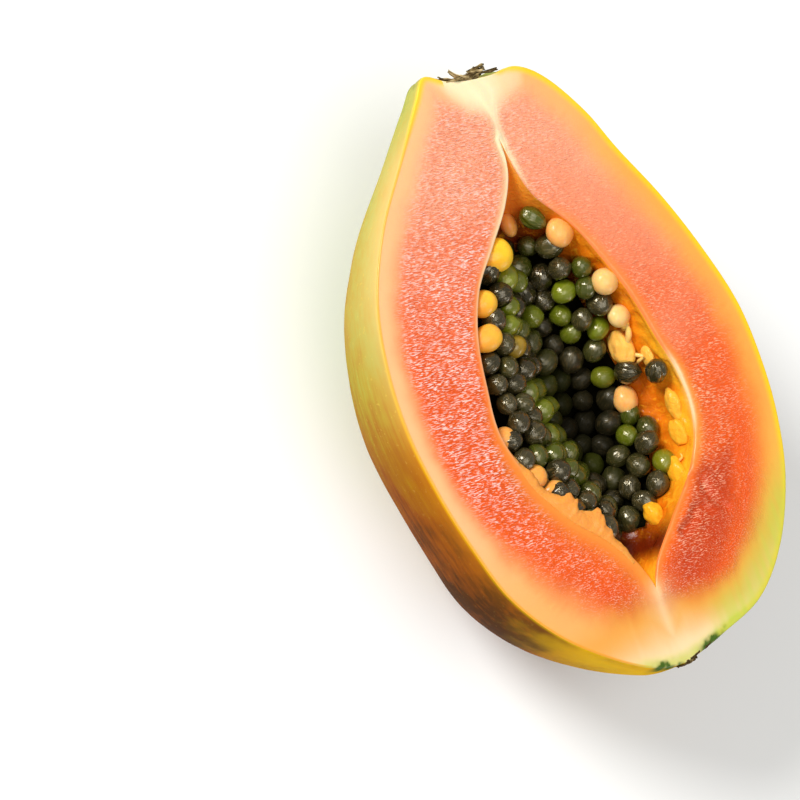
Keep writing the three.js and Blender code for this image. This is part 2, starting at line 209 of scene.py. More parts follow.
def noise(x, y, z=0.0, seed=0):
    """Smooth noise from -1 to 1 with lumps one unit across."""
    x, y, z = np.broadcast_arrays(np.asarray(x, float), np.asarray(y, float), np.asarray(z, float))
    corner = [np.floor(v).astype(np.int64) for v in (x, y, z)]
    fx, fy, fz = [(v - c) ** 3 * ((v - c) * ((v - c) * 6 - 15) + 10) for v, c in zip((x, y, z), corner)]
    total = 0
    for dx, wx in ((0, 1 - fx), (1, fx)):
        for dy, wy in ((0, 1 - fy), (1, fy)):
            for dz, wz in ((0, 1 - fz), (1, fz)):
                total = total + wx * wy * wz * hashed(corner[0] + dx, corner[1] + dy, corner[2] + dz, seed)
    return total


def rough(x, y, z=0.0, seed=0, octaves=3):
    """Noise with finer and fainter noise on top."""
    return sum(noise(x * 2**k, y * 2**k, z * 2**k, seed + k) / 2**k for k in range(octaves)) / 1.6


# ---------------------------------------------------------------- the fruit's form

left = line_through(OUTLINE_LEFT)
right = line_through(OUTLINE_RIGHT)
rim_left = line_through(RIM_LEFT)
rim_right = line_through(RIM_RIGHT)
cavity_depth = curve_through(CAVITY_DEPTH)
heap_left = curve_through(HEAP_LEFT)
heap_middle = curve_through(HEAP_MIDDLE)
heap_right = curve_through(HEAP_RIGHT)
blossom_border = curve_through(BLOSSOM_BORDER)


def depth_share(s):
    """How much deeper the half is than half its width, along its length."""
    return 1.06 + 0.07 * smoothstep(s, 0.15, 0.55) + 0.11 * smoothstep(s, 0.6, 0.9)


def left_swell(s):
    """How far the left flank swells out below the cut face, because the knife passed off centre."""
    return 0.09 + 0.03 * smoothstep(s, 0.15, 0.6) + 0.165 * smoothstep(s, 0.6, 0.85)


def belly_reach(s):
    """How far the belly reaches past the cut face towards the blossom end."""
    return 2.7 * smoothstep(s, 0.6, 0.85) * (1 - smoothstep(s, 0.93, 1))


def lobes(s, phi):
    """The soft ridges of the five lobes, strongest at the ends and faint over the belly."""
    ridge = 0.006 + 0.02 * (1 - smoothstep(s, 0.05, 0.45) + smoothstep(s, 0.7, 0.95))
    return 1 + ridge * np.sin(5 * phi) * np.sin(phi)


def rind_point(s, phi):
    """A point on the rind: s runs from stem to blossom, phi from the right edge under to the left."""
    across, down = np.cos(phi), np.sin(phi)
    (lx, ly), (rx, ry) = left(s), right(s)
    edge_x, edge_y = np.where(across > 0, rx, lx), np.where(across > 0, ry, ly)
    swell = 1 + np.where(across > 0, RIGHT_SWELL, left_swell(s)) * np.abs(down)
    middle_y = (ly + ry) / 2
    x = edge_x * np.abs(across) * swell * lobes(s, phi)
    y = middle_y + (edge_y - middle_y) * across * across - belly_reach(s) * np.abs(down)
    z = -((rx - lx) / 2) * depth_share(s) * down * lobes(s, phi)
    return x, y, np.maximum(z, FLAT_SPOT_Z)


def lining_relief(s, u):
    """The large soft lumps of the hollow's lining, which fade out towards its ends."""
    band = smoothstep(s, 0.2, 0.34) * (1 - smoothstep(s, 0.82, 0.92))
    lumps = np.sin(41 * s + 3.2 * u) * np.sin(7.5 * u + 23 * s)
    return 0.7 * band * (lumps + 0.6 * np.sin(67 * s - 11 * u))


def wall_level(s, u):
    """The level of the hollow's wall at a station s and a place u across it, from -1 to 1."""
    around = np.sqrt(clamp(1 - u * u))
    corners = 1 + 0.05 * np.cos(5 * np.arccos(clamp(u, -1.0, 1.0))) * around
    return (lining_relief(s, u) - cavity_depth(s) * corners) * around


def plan_point(s, u, inset=0.0):
    """x and y at a station and a place across, drawn in from the rims by the inset."""
    (lx, ly), (rx, ry) = rim_left(s), rim_right(s)
    share = (u + 1) / 2
    most = 0.4 * (rx - lx)
    drawn = min(inset, most) if isinstance(s, float) else np.minimum(inset, most)
    return lerp(lx, rx, share) - u * drawn, lerp(ly, ry, share)


def off_wall(s, degrees, stand):
    """A point that stands off the hollow's wall, and the wall's direction there."""
    across, down = math.cos(math.radians(degrees)), math.sin(math.radians(degrees))
    half_width = (rim_right(s)[0] - rim_left(s)[0]) / 2
    inwards = Vector((-across / half_width, 0, down / cavity_depth(s))).normalized()
    point = Vector((*plan_point(s, across), wall_level(s, across)))
    return point + inwards * stand, inwards


def heap_level(s, u):
    """The level of the seed heap's surface."""
    along = clamp((s - FIRST_LEVEL) / (LAST_LEVEL - FIRST_LEVEL))
    on_left = u < HEAP_MIDDLE_PLACE
    if isinstance(u, float):
        rim = heap_left(along) if on_left else heap_right(along)
        reach = HEAP_LEFT_REACH if on_left else HEAP_RIGHT_REACH
    else:
        rim = np.where(on_left, heap_left(along), heap_right(along))
        reach = np.where(on_left, HEAP_LEFT_REACH, HEAP_RIGHT_REACH)
    return lerp(heap_middle(along), rim, smoothstep(abs(u - HEAP_MIDDLE_PLACE), 0.0, reach))


def in_heap(s, u):
    """Whether a seed fits at a station and a place across, between the heap's surface and the wall."""
    if s < FIRST_LEVEL or s > LAST_LEVEL or abs(u) > 1:
        return False
    return heap_level(s, u) - SEED_DEPTH > wall_level(s, u) + WALL_CLEAR


def seed_point(seed):
    """Where a seed's middle is."""
    x, y = plan_point(seed["s"], seed["u"], SEED_WIDE)
    return x, y, heap_level(seed["s"], seed["u"]) - SEED_DEPTH + seed["lift"]


def push_seed(seed, step):
    """Moves a seed by a step in mm, unless that takes it off the heap."""
    width = rim_right(seed["s"])[0] - rim_left(seed["s"])[0]
    s, u = seed["s"] - step[1] / CAVITY_LENGTH, seed["u"] + 2 * step[0] / width
    if in_heap(s, u):
        seed["s"], seed["u"] = s, u
    seed["lift"] = clamp(seed["lift"] + step[2], 0.0, SEED_RISE)
    seed["at"] = seed_point(seed)


def heaped_seeds():
    """Ripe seeds drawn at random over the heap, then pushed apart until each has its room. The
    draws and pushes are those of the frame's own seeds, so each seed lies where its solid does."""
    draw = random_stream(20261)
    seeds = []
    for _ in range(SEED_DRAWS):
        s, u = lerp(FIRST_LEVEL, LAST_LEVEL, next(draw)), lerp(-1.0, 1.0, next(draw))
        lift = SEED_RISE * next(draw)
        size = 1 + SEED_SPREAD * (2 * next(draw) - 1)
        axis = Vector((next(draw) - 0.5, next(draw) - 0.5, next(draw) - 0.5)).normalized()
        if not in_heap(s, u):
            continue
        seed = {"s": s, "u": u, "lift": lift, "size": size, "axis": axis}
        seed["at"] = seed_point(seed)
        if all(
            math.dist(seed["at"], other["at"]) / (SEED_WIDE * (size + other["size"])) > SEED_CROWDING
            for other in seeds
        ):
            seeds.append(seed)
    for _ in range(SEED_ROUNDS):
        for i, a in enumerate(seeds):
            for b in seeds[i + 1:]:
                apart = math.dist(a["at"], b["at"])
                short = SEED_CLEAR * SEED_WIDE * (a["size"] + b["size"]) - apart
                if short <= 0:
                    continue
                step = [(p - q) * short / 2 / apart for p, q in zip(a["at"], b["at"])]
                push_seed(a, step)
                push_seed(b, [-v for v in step])
    return seeds


# ---------------------------------------------------------------- meshes

def in_place(points):
    """Points in the fruit's frame, in mm, moved to the row frame, in metres."""
    return (np.asarray(points, float).reshape(-1, 3) + FRUIT_TO_ROW) / TO_MM


def grid_faces(rows, columns, closed=False, first=0):
    """Quads between the points of a grid, row by row; a closed one joins its last column to its first."""
    i, j = np.meshgrid(np.arange(rows - 1), np.arange(columns if closed else columns - 1), indexing="ij")
    after = (j + 1) % columns
    here, below = i * columns, (i + 1) * columns
    return np.stack([here + j, here + after, below + after, below + j], -1).reshape(-1, 4) + first


class Shape:
    """Points and faces that grow into one piece, with values held at its points."""

    def __init__(self):
        self.points, self.faces, self.values = [], [], {}
        self.count = 0

    def add(self, points, faces, **values):
        """Adds points of the fruit's frame, and faces that count from the first of them. A value is
        one number or three for each point, or the same for all of them."""
        points = np.asarray(points, float).reshape(-1, 3)
        self.points.append(points)
        self.faces.extend(tuple(int(v) + self.count for v in face) for face in faces)
        for name, value in values.items():
            value = np.asarray(value, float)
            wide = 3 if value.shape[-1:] == (3,) and value.size != len(points) else 1
            shape = (len(points), 3) if wide == 3 else (len(points),)
            self.values.setdefault(name, []).append(np.broadcast_to(value, shape))
        self.count += len(points)

    def piece(self, name, materials, material_index=None, merge=None):
        """The finished piece, smooth, at the origin, riding on the part's one body."""
        mesh = bpy.data.meshes.new(name)
        mesh.from_pydata(in_place(np.concatenate(self.points)).tolist(), [], self.faces)
        for key, parts in self.values.items():
            data = np.concatenate(parts)
            kind = "FLOAT_VECTOR" if data.ndim == 2 else "FLOAT"
            field = "vector" if data.ndim == 2 else "value"
            mesh.attributes.new(key, kind, "POINT").data.foreach_set(field, data.astype(np.float32).ravel())
        for material in materials:
            mesh.materials.append(material)
        if material_index is not None:
            mesh.polygons.foreach_set("material_index", np.asarray(material_index, np.int32))
        if merge:
            merge_points(mesh, merge)
        mesh.polygons.foreach_set("use_smooth", np.ones(len(mesh.polygons), bool))
        mesh.validate()
        piece = bpy.data.objects.new(name, mesh)
        bpy.context.scene.collection.objects.link(piece)
        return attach(piece, "root")


def slab(shape, upper, lower, **values):
    """A thin closed sheet between two grids of points."""
    rows, columns = upper.shape[:2]
    under = rows * columns
    faces = [tuple(q) for q in grid_faces(rows, columns)]
    faces += [tuple(q[::-1]) for q in grid_faces(rows, columns, first=under)]
    border = list(range(columns)) + [i * columns + columns - 1 for i in range(1, rows)]
    border += [(rows - 1) * columns + j for j in range(columns - 2, -1, -1)]
    border += [i * columns for i in range(rows - 2, 0, -1)]
    faces += [(a, a + under, b + under, b) for a, b in zip(border, border[1:] + border[:1])]
    shape.add(np.concatenate([upper.reshape(-1, 3), lower.reshape(-1, 3)]), faces, **values)


def merge_points(mesh, distance):
    """Joins points that fall together, such as those of a pole or a seam, and drops closed faces."""
    shape = bmesh.new()
    shape.from_mesh(mesh)
    bmesh.ops.remove_doubles(shape, verts=shape.verts, dist=distance)
    bmesh.ops.recalc_face_normals(shape, faces=shape.faces)
    shape.to_mesh(mesh)
    shape.free()


def turned(points, axis, place):
    """Points of a body made along z, turned to lie along the axis and moved to the place."""
    turn = np.array(Vector((0, 0, 1)).rotation_difference(Vector(axis)).to_matrix())
    return np.asarray(points) @ turn.T + np.asarray(place)


# ---------------------------------------------------------------- colours and nodes

def linear(hex_colour):
    """An sRGB hex colour as the linear colour that the shaders take."""
    parts = [int(hex_colour[i:i + 2], 16) / 255 for i in (0, 2, 4)]
    return tuple(c / 12.92 if c <= 0.04045 else ((c + 0.055) / 1.055) ** 2.4 for c in parts) + (1.0,)


# The sockets of a Mix node that mixes colours.
MIX_FACTOR, MIX_A, MIX_B, MIX_RESULT = 0, 6, 7, 2
# The flesh's ripples lie this far off straight across the fruit.
FIBRE_TURN = math.radians(9)


def node(tree, kind, inputs=None, stops=None, **settings):
    """Adds a node: its settings, a ramp's stops, and for each input a value or the socket that feeds it."""
    made = tree.nodes.new("ShaderNode" + kind)
    for name, value in settings.items():
        setattr(made, name, value)
    if stops:
        elements = made.color_ramp.elements
        while len(elements) < len(stops):
            elements.new(1.0)
        for element, (position, colour) in zip(elements, stops):
            element.position = position
            element.color = colour
    for key, value in (inputs or {}).items():
        if isinstance(value, bpy.types.NodeSocket):
            tree.links.new(value, made.inputs[key])
        else:
            made.inputs[key].default_value = value
    return made


def new_material(name):
    """An empty node material, and its tree."""
    material = bpy.data.materials.new(name)
    material.use_nodes = True
    material.node_tree.nodes.clear()
    return material, material.node_tree


# ---------------------------------------------------------------- materials

def cut_cells(tree, mm, fibrous):
    """The pattern of the cut cells: ripples of 1.3 mm by 0.3 mm, nearly across the fruit, and grains
    of 0.6 mm by 0.3 mm where the flesh isn't fibrous."""
    turned_mm = node(tree, "VectorRotate", {
        "Vector": mm, "Angle": FIBRE_TURN,
    }, rotation_type="Z_AXIS").outputs[0]
    stretched = node(tree, "VectorMath", {0: turned_mm, 1: (0.75, 3.4, 1.0)}, operation="MULTIPLY").outputs[0]
    fibres = node(tree, "TexNoise", {
        "Vector": stretched, "Scale": 1.0, "Detail": 2.0, "Distortion": 0.35,
    }).outputs["Fac"]
    short = node(tree, "VectorMath", {0: turned_mm, 1: (1.8, 3.4, 1.8)}, operation="MULTIPLY").outputs[0]
    grains = node(tree, "TexNoise", {"Vector": short, "Scale": 1.0, "Detail": 2.0}).outputs["Fac"]
    grains = node(tree, "Math", {0: grains, 1: 0.025}, operation="SUBTRACT").outputs[0]
    return node(tree, "Mix", {0: fibrous, 2: grains, 3: fibres}, data_type="FLOAT").outputs[0]


def catching_light(tree, mm, value):
    """How much the cut cells' tops are painted pale, partly as painted highlight where they would catch the
    light: more in patches of 6 mm and where the flesh is fibrous, and less on the sunny side."""
    patches = node(tree, "TexNoise", {"Vector": mm, "Scale": 0.16, "Detail": 2.0}).outputs["Fac"]
    brightest = node(tree, "MapRange", {"Value": value["sunny"], "To Min": 1.0, "To Max": 0.95}).outputs[0]
    faintest = node(tree, "MapRange", {"Value": value["sunny"], "To Min": 0.5, "To Max": 0.32}).outputs[0]
    in_patches = node(tree, "MapRange", {
        "Value": patches, "From Min": 0.35, "From Max": 0.65, "To Min": faintest, "To Max": brightest,
    }).outputs[0]
    standing = node(tree, "MapRange", {"Value": value["fibrous"], "To Min": 0.5, "To Max": 1.1}).outputs[0]
    return node(tree, "Math", {0: in_patches, 1: standing}, operation="MULTIPLY").outputs[0]


def knife_marked(tree, value, inward):
    """Where the knife left the cells standing: away from the skin, and not in the smooth flesh
    beside the hollow and at the two ends."""
    edge_end = node(tree, "MapRange", {"Value": value["sunny"], "To Min": 10.0, "To Max": 14.5}).outputs[0]
    from_edge = node(tree, "MapRange", {
        "Value": inward, "From Min": 4.0, "From Max": edge_end,
    }, interpolation_type="SMOOTHSTEP").outputs[0]
    smooth_cut = node(tree, "Math", {0: value["orange"], 1: value["amber"]}, operation="MAXIMUM").outputs[0]
    smooth_cut = node(tree, "Math", {0: smooth_cut, 1: value["cream"]}, operation="MAXIMUM").outputs[0]
    not_smooth = node(tree, "MapRange", {
        "Value": smooth_cut, "From Min": 0.2, "From Max": 0.7, "To Min": 1.0, "To Max": 0.0,
    }).outputs[0]
    return node(tree, "Math", {0: from_edge, 1: not_smooth}, operation="MULTIPLY").outputs[0]


def ripe_flesh(colours):
    """Ripe papaya flesh, cut with a knife: wet, so its highlights are small and bright, and a little
    see-through, so thin edges glow. Cut cells stand up in short ripples across the fruit, which show as pale
    flecks a millimetre or two long, and as short grains far out on its right. The flecks are partly the
    cells' own paler colour and partly painted highlight, and the ripples' hollows are darkened with painted
    shade."""
    material, tree = new_material("ripe_flesh")
    place = node(tree, "TexCoord").outputs["Object"]
    mm = node(tree, "VectorMath", {0: place, "Scale": TO_MM}, operation="SCALE").outputs[0]
    value = {
        name: node(tree, "Attribute", attribute_name=name).outputs["Fac"]
        for name in (
            "from_skin", "inward", "ripe", "sunny", "lemon", "cream", "amber", "lime", "bruise",
            "fibrous", "orange",
        )
    }
    # Lumps 9 mm across move the borders between the colours.
    lumps = node(tree, "TexNoise", {"Vector": mm, "Scale": 0.11, "Detail": 3.0}).outputs["Fac"]
    wander = node(tree, "MapRange", {"Value": lumps, "To Min": -1.8, "To Max": 1.8}).outputs[0]
    inward = node(tree, "Math", {0: value["inward"], 1: wander}).outputs[0]
    heart = node(tree, "ValToRGB", {"Fac": value["ripe"]}, stops=[
        (0.0, colours.flesh_pale), (0.42, colours.flesh), (0.78, colours.flesh_red),
        (1.0, colours.flesh_deep),
    ]).outputs[0]
    edge = node(tree, "Mix", {
        MIX_FACTOR: value["sunny"], MIX_A: colours.edge_peach, MIX_B: colours.edge_amber,
    }, data_type="RGBA").outputs[MIX_RESULT]
    reach = node(tree, "MapRange", {"Value": value["sunny"], "To Min": 8.5, "To Max": 14.0}).outputs[0]
    to_heart = node(tree, "MapRange", {
        "Value": inward, "From Min": 1.5, "From Max": reach,
    }, interpolation_type="SMOOTHSTEP").outputs[0]

    ripple = cut_cells(tree, mm, value["fibrous"])
    marked = knife_marked(tree, value, inward)
    # The ripple tops take pale flecks, partly the cells' own colour and partly painted highlight.
    tops = node(tree, "MapRange", {
        "Value": ripple, "From Min": 0.51, "From Max": 0.6, "To Max": catching_light(tree, mm, value),
    }).outputs[0]
    firm = node(tree, "MapRange", {"Value": value["ripe"], "From Max": 0.35, "To Min": 0.5}).outputs[0]
    flecks = node(tree, "Math", {0: tops, 1: marked}, operation="MULTIPLY").outputs[0]
    flecks = node(tree, "Math", {0: flecks, 1: firm}, operation="MULTIPLY").outputs[0]
    fleck_and_highlight_colour = node(tree, "Mix", {
        MIX_FACTOR: value["sunny"], MIX_A: colours.flesh_fleck, MIX_B: colours.flesh_spark,
    }, data_type="RGBA").outputs[MIX_RESULT]
    # The hollows between the ripples take painted shade, in the deep red.
    deepest_painted_shade = node(tree, "MapRange", {"Value": value["sunny"], "To Min": 0.42, "To Max": 0.1}).outputs[0]
    hollows = node(tree, "MapRange", {
        "Value": ripple, "From Min": 0.36, "From Max": 0.48, "To Min": deepest_painted_shade, "To Max": 0.0,
    }).outputs[0]
    hollows = node(tree, "Math", {0: hollows, 1: marked}, operation="MULTIPLY").outputs[0]

    # The skin itself is half a millimetre thick, and stains the flesh under it more on the sunny side.
    stain = node(tree, "MapRange", {"Value": value["lemon"], "To Min": 0.8, "To Max": 3.0}).outputs[0]
    skin = node(tree, "MapRange", {
        "Value": value["from_skin"], "From Min": 0.3, "From Max": stain, "To Min": 0.9, "To Max": 0.0,
    }, interpolation_type="SMOOTHERSTEP").outputs[0]
    skin_colour = node(tree, "Mix", {
        MIX_FACTOR: value["lemon"], MIX_A: colours.skin_orange, MIX_B: colours.skin_yellow,
    }, data_type="RGBA").outputs[MIX_RESULT]

    colour = edge
    for factor, laid_over in (
        (to_heart, heart), (value["orange"], colours.rim_orange), (flecks, fleck_and_highlight_colour),
        (hollows, colours.flesh_deep), (value["amber"], colours.blossom_amber),
        (value["cream"], colours.cream), (skin, skin_colour), (value["lime"], colours.rind_lime),
        (value["bruise"], colours.bruise_green),
    ):
        mixed = node(tree, "Mix", {MIX_FACTOR: factor, MIX_A: colour, MIX_B: laid_over}, data_type="RGBA")
        colour = mixed.outputs[MIX_RESULT]
    raised = node(tree, "Math", {0: ripple, 1: marked}, operation="MULTIPLY").outputs[0]
    bump = node(tree, "Bump", {"Height": raised, "Strength": 0.9, "Distance": 0.0006}).outputs[0]
    surface = node(tree, "BsdfPrincipled", {
        "Base Color": colour, "Normal": bump, "Roughness": 0.32, "IOR": 1.38, "Specular IOR Level": 0.35,
        "Subsurface Weight": 0.15, "Subsurface Radius": (1.0, 0.35, 0.15), "Subsurface Scale": 0.002,
        "Coat Weight": 0.15, "Coat Roughness": 0.2,
    }).outputs[0]
    node(tree, "OutputMaterial", {"Surface": surface})
    return material


def moist_lining(colours):
    """The lining of the seed hollow: soft placenta tissue, amber and wet, cream where the knife left its
    edge, and darker deep down, partly its own deeper red and partly painted shade. Its folds are a few
    millimetres wide."""
    material, tree = new_material("moist_lining")
    place = node(tree, "TexCoord").outputs["Object"]
    mm = node(tree, "VectorMath", {0: place, "Scale": TO_MM}, operation="SCALE").outputs[0]
    value = {
        name: node(tree, "Attribute", attribute_name=name).outputs["Fac"]
        for name in ("depth", "bare", "cream", "yellow", "peach")
    }
    # Lumps 5 mm across move the level at which each colour starts.
    lumps = node(tree, "TexNoise", {
        "Vector": mm, "Scale": 0.2, "Detail": 3.0, "Distortion": 0.6,
    }).outputs["Fac"]
    wander = node(tree, "MapRange", {"Value": lumps, "To Min": -4.0, "To Max": 4.0}).outputs[0]
    level = node(tree, "Math", {0: value["depth"], 1: wander}).outputs[0]
    raised = node(tree, "MapRange", {"Value": value["yellow"], "To Min": 5.5, "To Max": -2.0}).outputs[0]
    level = node(tree, "Math", {0: level, 1: raised}).outputs[0]
    share = node(tree, "MapRange", {"Value": level, "From Min": 0.0, "From Max": 26.0}).outputs[0]
    # From yellow at the rim to dark deep down: partly the lining's own colour, partly painted shade in the
    # hollow.
    colour = node(tree, "ValToRGB", {"Fac": share}, stops=[
        (0.0, colours.lining_yellow), (0.2, colours.lining_amber), (0.42, colours.lining_orange),
        (0.8, colours.lining_deep),
    ]).outputs[0]
    # Paler strands run through it, about 1.5 mm wide.
    strands = node(tree, "TexNoise", {
        "Vector": mm, "Scale": 0.45, "Detail": 3.0, "Distortion": 1.4,
    }).outputs["Fac"]
    light = node(tree, "MapRange", {
        "Value": strands, "From Min": 0.52, "From Max": 0.7, "To Max": 0.6,
    }).outputs[0]
    covered = node(tree, "Math", {0: 1.0, 1: value["bare"]}, operation="SUBTRACT").outputs[0]
    light = node(tree, "Math", {0: light, 1: covered}, operation="MULTIPLY").outputs[0]
    # bare darkens the wall past the heap with painted shade.
    for factor, laid_over in (
        (value["bare"], colours.lining_deep), (light, colours.lining_yellow),
        (value["peach"], colours.pulp_peach), (value["cream"], colours.rim_cream),
    ):
        mixed = node(tree, "Mix", {MIX_FACTOR: factor, MIX_A: colour, MIX_B: laid_over}, data_type="RGBA")
        colour = mixed.outputs[MIX_RESULT]
    bump = node(tree, "Bump", {"Height": strands, "Strength": 0.5, "Distance": 0.0006}).outputs[0]
    surface = node(tree, "BsdfPrincipled", {
        "Base Color": colour, "Normal": bump, "Roughness": 0.22, "IOR": 1.38, "Specular IOR Level": 0.25,
        "Subsurface Weight": 0.3, "Subsurface Radius": (1.0, 0.4, 0.08), "Subsurface Scale": 0.002,
        "Coat Weight": 0.06, "Coat Roughness": 0.1,
    }).outputs[0]
    node(tree, "OutputMaterial", {"Surface": surface})
    return material


def waxy_rind(colours):
    """The rind of a papaya part way to ripe: green turning gold, smooth and waxed by nature, so it has a soft
    sheen. It has pale pores and faint streaks along the fruit. Its brown towards the blossom end and under
    the cut is partly painted shade."""
    material, tree = new_material("waxy_rind")
    place = node(tree, "TexCoord").outputs["Object"]
    mm = node(tree, "VectorMath", {0: place, "Scale": TO_MM}, operation="SCALE").outputs[0]
    value = {
        name: node(tree, "Attribute", attribute_name=name).outputs["Fac"]
        for name in ("blush_and_painted_shade", "depth", "amber", "frost", "sun", "bruise")
    }
    # Streaks 1.5 mm wide and 25 mm long, over clouds of 10 mm.
    stretched = node(tree, "VectorMath", {0: mm, 1: (0.6, 0.04, 0.6)}, operation="MULTIPLY").outputs[0]
    streaks = node(tree, "TexNoise", {"Vector": stretched, "Scale": 1.0, "Detail": 4.0}).outputs["Fac"]
    clouds = node(tree, "TexNoise", {
        "Vector": mm, "Scale": 0.1, "Detail": 5.0, "Roughness": 0.6,
    }).outputs["Fac"]
    uneven = node(tree, "Math", {0: streaks, 1: clouds}).outputs[0]
    uneven = node(tree, "MapRange", {
        "Value": uneven, "From Min": 0.6, "From Max": 1.4, "To Min": -0.16, "To Max": 0.16,
    }).outputs[0]
    tone = node(tree, "Math", {0: value["blush_and_painted_shade"], 1: uneven}).outputs[0]
    # The orange and brown end of the ramp is partly painted shade of the lower rind.
    colour = node(tree, "ValToRGB", {"Fac": tone}, stops=[
        (0.0, colours.rind_green), (0.22, colours.rind_leaf), (0.42, colours.rind_olive),
        (0.6, colours.rind_gold), (0.8, colours.rind_orange), (1.0, colours.rind_brown),
    ]).outputs[0]
    near_cut = node(tree, "MapRange", {
        "Value": value["depth"], "From Min": 0.2, "From Max": 1.6, "To Min": 0.45, "To Max": 0.0,
    }, interpolation_type="SMOOTHSTEP").outputs[0]
    # Pores of about 0.6 mm, a few millimetres apart, fainter where the rind is ripe.
    pores = node(tree, "TexNoise", {"Vector": mm, "Scale": 0.8, "Detail": 1.0}).outputs["Fac"]
    pore = node(tree, "MapRange", {
        "Value": pores, "From Min": 0.66, "From Max": 0.76, "To Max": 0.22,
    }).outputs[0]
    shown = node(tree, "MapRange", {
        "Value": value["blush_and_painted_shade"], "From Min": 0.45, "From Max": 0.8, "To Min": 1.5, "To Max": 0.3,
    }).outputs[0]
    pore = node(tree, "Math", {0: pore, 1: shown}, operation="MULTIPLY").outputs[0]
    for factor, laid_over in (
        (value["amber"], colours.rind_amber), (near_cut, colours.skin_yellow),
        (value["frost"], colours.rind_frost), (value["sun"], colours.rind_sun),
        (pore, colours.rind_pore), (value["bruise"], colours.bruise_green),
    ):
        mixed = node(tree, "Mix", {MIX_FACTOR: factor, MIX_A: colour, MIX_B: laid_over}, data_type="RGBA")
        colour = mixed.outputs[MIX_RESULT]
    height = node(tree, "Math", {0: clouds, 1: pore}).outputs[0]
    bump = node(tree, "Bump", {"Height": height, "Strength": 0.25, "Distance": 0.0003}).outputs[0]
    surface = node(tree, "BsdfPrincipled", {
        "Base Color": colour, "Normal": bump, "Roughness": 0.5, "IOR": 1.4, "Specular IOR Level": 0.0,
        "Subsurface Weight": 0.06, "Subsurface Radius": (1.0, 0.6, 0.2), "Subsurface Scale": 0.002,
        "Coat Weight": 0.1, "Coat Roughness": 0.24,
    }).outputs[0]
    node(tree, "OutputMaterial", {"Surface": surface})
    return material


def ripe_seed_skin(colours):
    """The jelly skin of a ripe seed: dark, wet and wrinkled along the seed, so its highlights break into thin
    lines. Seeds short of ripe are still green and smoother. Deep in the hollow, by the shade value, the
    colour is darkened with painted shade, and the reflections are dimmed and the coat taken off to match."""
    material, tree = new_material("ripe_seed_skin")
    spot = node(tree, "Attribute", attribute_name="seed_place").outputs["Vector"]
    green = node(tree, "Attribute", attribute_name="green").outputs["Fac"]
    shade = node(tree, "Attribute", attribute_name="shade").outputs["Fac"]
    # Wrinkles run along the seed, about 0.5 mm apart on a seed 7 mm long.
    along = node(tree, "VectorMath", {0: spot, 1: (5.5, 5.5, 1.3)}, operation="MULTIPLY").outputs[0]
    wrinkles = node(tree, "TexNoise", {
        "Vector": along, "Scale": 1.0, "Detail": 4.0, "Distortion": 0.9,
    }).outputs["Fac"]
    colour = node(tree, "ValToRGB", {"Fac": green}, stops=[
        (0.0, colours.seed_black), (0.3, colours.seed_grey), (0.6, colours.seed_green),
        (0.85, colours.seed_leaf), (1.0, colours.seed_olive),
    ]).outputs[0]
    lines = node(tree, "MapRange", {
        "Value": wrinkles, "From Min": 0.52, "From Max": 0.68, "To Max": 0.3,
    }).outputs[0]
    colour = node(tree, "Mix", {
        MIX_FACTOR: lines, MIX_A: colour, MIX_B: colours.seed_line,
    }, data_type="RGBA", blend_type="ADD").outputs[MIX_RESULT]
    # Painted shade: deep seeds darken towards the shadow colour.
    colour = node(tree, "Mix", {
        MIX_FACTOR: shade, MIX_A: colour, MIX_B: colours.seed_shadow,
    }, data_type="RGBA").outputs[MIX_RESULT]
    # In the painted shade the seeds lose their shine: rougher, with the reflection tinted dark and less coat.
    roughness_in_painted_shade = node(tree, "MapRange", {"Value": shade, "To Min": 0.13, "To Max": 0.6}).outputs[0]
    shine_dimmed_in_painted_shade = node(tree, "ValToRGB", {"Fac": shade}, stops=[
        (0.0, colours.seed_glint), (1.0, colours.seed_shadow),
    ]).outputs[0]
    jelly = node(tree, "MapRange", {"Value": shade, "To Min": 0.35, "To Max": 0.0}).outputs[0]
    bump = node(tree, "Bump", {"Height": wrinkles, "Strength": 0.35, "Distance": 0.0005}).outputs[0]
    surface = node(tree, "BsdfPrincipled", {
        "Base Color": colour, "Normal": bump, "Roughness": roughness_in_painted_shade, "IOR": 1.45, "Specular IOR Level": 1.0,
        "Specular Tint": shine_dimmed_in_painted_shade, "Coat Weight": jelly, "Coat Roughness": 0.05,
    }).outputs[0]
    node(tree, "OutputMaterial", {"Surface": surface})
    return material


